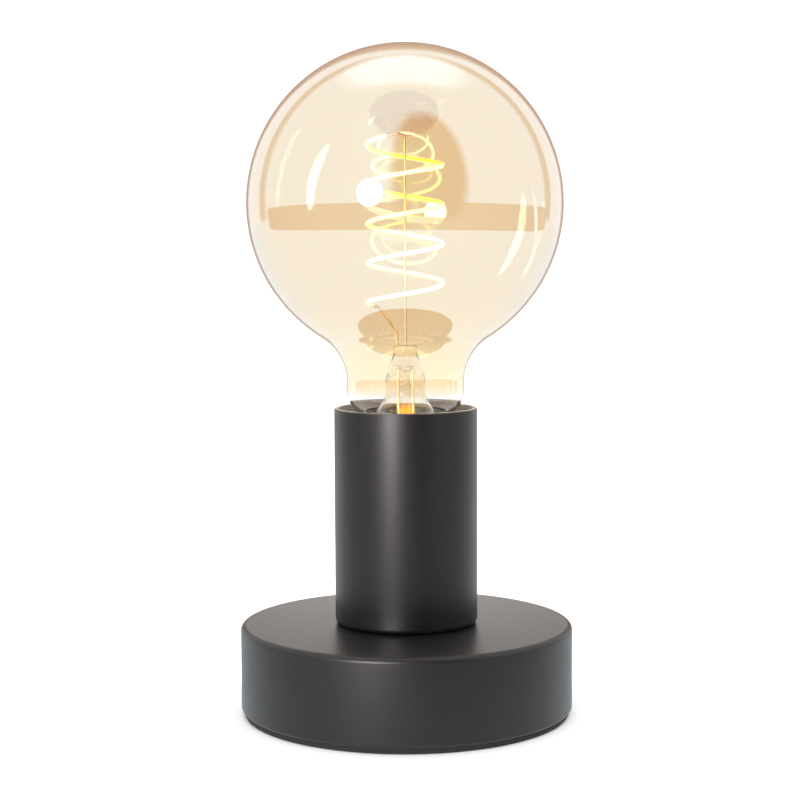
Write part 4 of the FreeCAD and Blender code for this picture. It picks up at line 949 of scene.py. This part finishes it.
def make_reflections():
    """What the glass and the paint reflect: a pale surround, darker towards the back, a softbox
    overhead, a round light at the left, two strip lights, and in front a dim patch over a band."""
    all_round, pole = (-180, 180), 89
    behind = {"tilt": 180, "corner": 2}
    strip = {"corner": 3, "soft": 0.5, "order": 9}
    reflection_card("card_surround", all_round, (-pole, pole), 1.1, PALE, corner=60, soft=0.001)
    reflection_card("card_ring", (-66, 66), (-66, 66), 0.55, CREAM, soft=0.1, order=1, **behind)
    reflection_card("card_ring_inside", (-56, 56), (-56, 56), 1.15, soft=0.08, order=2, **behind)
    reflection_card("card_low_surround", all_round, (-pole, -4), 1.1, PALE, corner=12, soft=0.04, order=3)
    reflection_card("card_back", (-32, 32), (-50, 30), 0.50, PINK, soft=0.3, order=4, **behind)
    reflection_card("card_back_glow", (-14, 14), (-15, 3), 2.1, soft=0.3, order=5, **behind)
    reflection_card("card_softbox", (-30, 30), (-23, 23), 1.9, tilt=107, corner=3, soft=0.5, order=6)
    reflection_card("card_front_band", (-116, 122), (-20, -1), 0.34, CREAM, corner=20, soft=0.03,
                    bow=11, order=7)
    reflection_card("card_front_dim", (-14, 49), (-19, 67), 0.04, TAN, corner=3, soft=0.28, order=8)
    reflection_card("card_round_light", (-34, -15), (-4, 15), 45.0, corner=2, soft=0.3, through=True,
                    order=9)
    reflection_card("card_left_strip", (-70, -64), (-6, 24), 1.5, **strip)
    reflection_card("card_right_strip", (99, 105), (-33, 12), 1.4, lean=30, **strip)


def add_light(name, kind, energy, colour=WHITE, place=(0, 0, 1)):
    """A lamp that shows in no reflection."""
    light = bpy.data.lights.new(name, kind)
    light.energy = energy
    light.color = colour
    obj = bpy.data.objects.new(name, light)
    obj.location = place
    obj.visible_glossy = False
    obj.visible_transmission = False
    bpy.context.scene.collection.objects.link(obj)
    return obj


def make_lights():
    """A wide soft light from above, and the bulb's own light, whose sheen only the cup shows."""
    overhead = add_light("overhead", "SUN", 1.6)
    overhead.data.angle = math.radians(70)
    middle = (0, 0, COIL_FOOT + COIL_PITCH * COIL_TURNS / 2)
    glow = add_light("filament_light", "POINT", 4.0, WARM, middle)
    glow.data.shadow_soft_size = COIL_RADIUS
    sheen = add_light("filament_sheen", "POINT", 6.0, WARM, middle)
    sheen.data.shadow_soft_size = COIL_RADIUS
    sheen.visible_glossy = True
    lit_by_sheen = bpy.data.collections.new("lit_by_sheen")
    lit_by_sheen.objects.link(bpy.data.objects["socket_cup_skin"])
    sheen.light_linking.receiver_collection = lit_by_sheen


make_camera()
dress_nodes()
make_foot_pad()
make_base_shell()
make_socket_cup()
make_cable_gland()
make_contact_spring()
make_bulb_glass()
make_stem()
make_filament()
make_filament_mounts()
make_cap_shell()
make_floor()
make_world()
make_reflections()
make_lights()

bpy.context.view_layer.update()
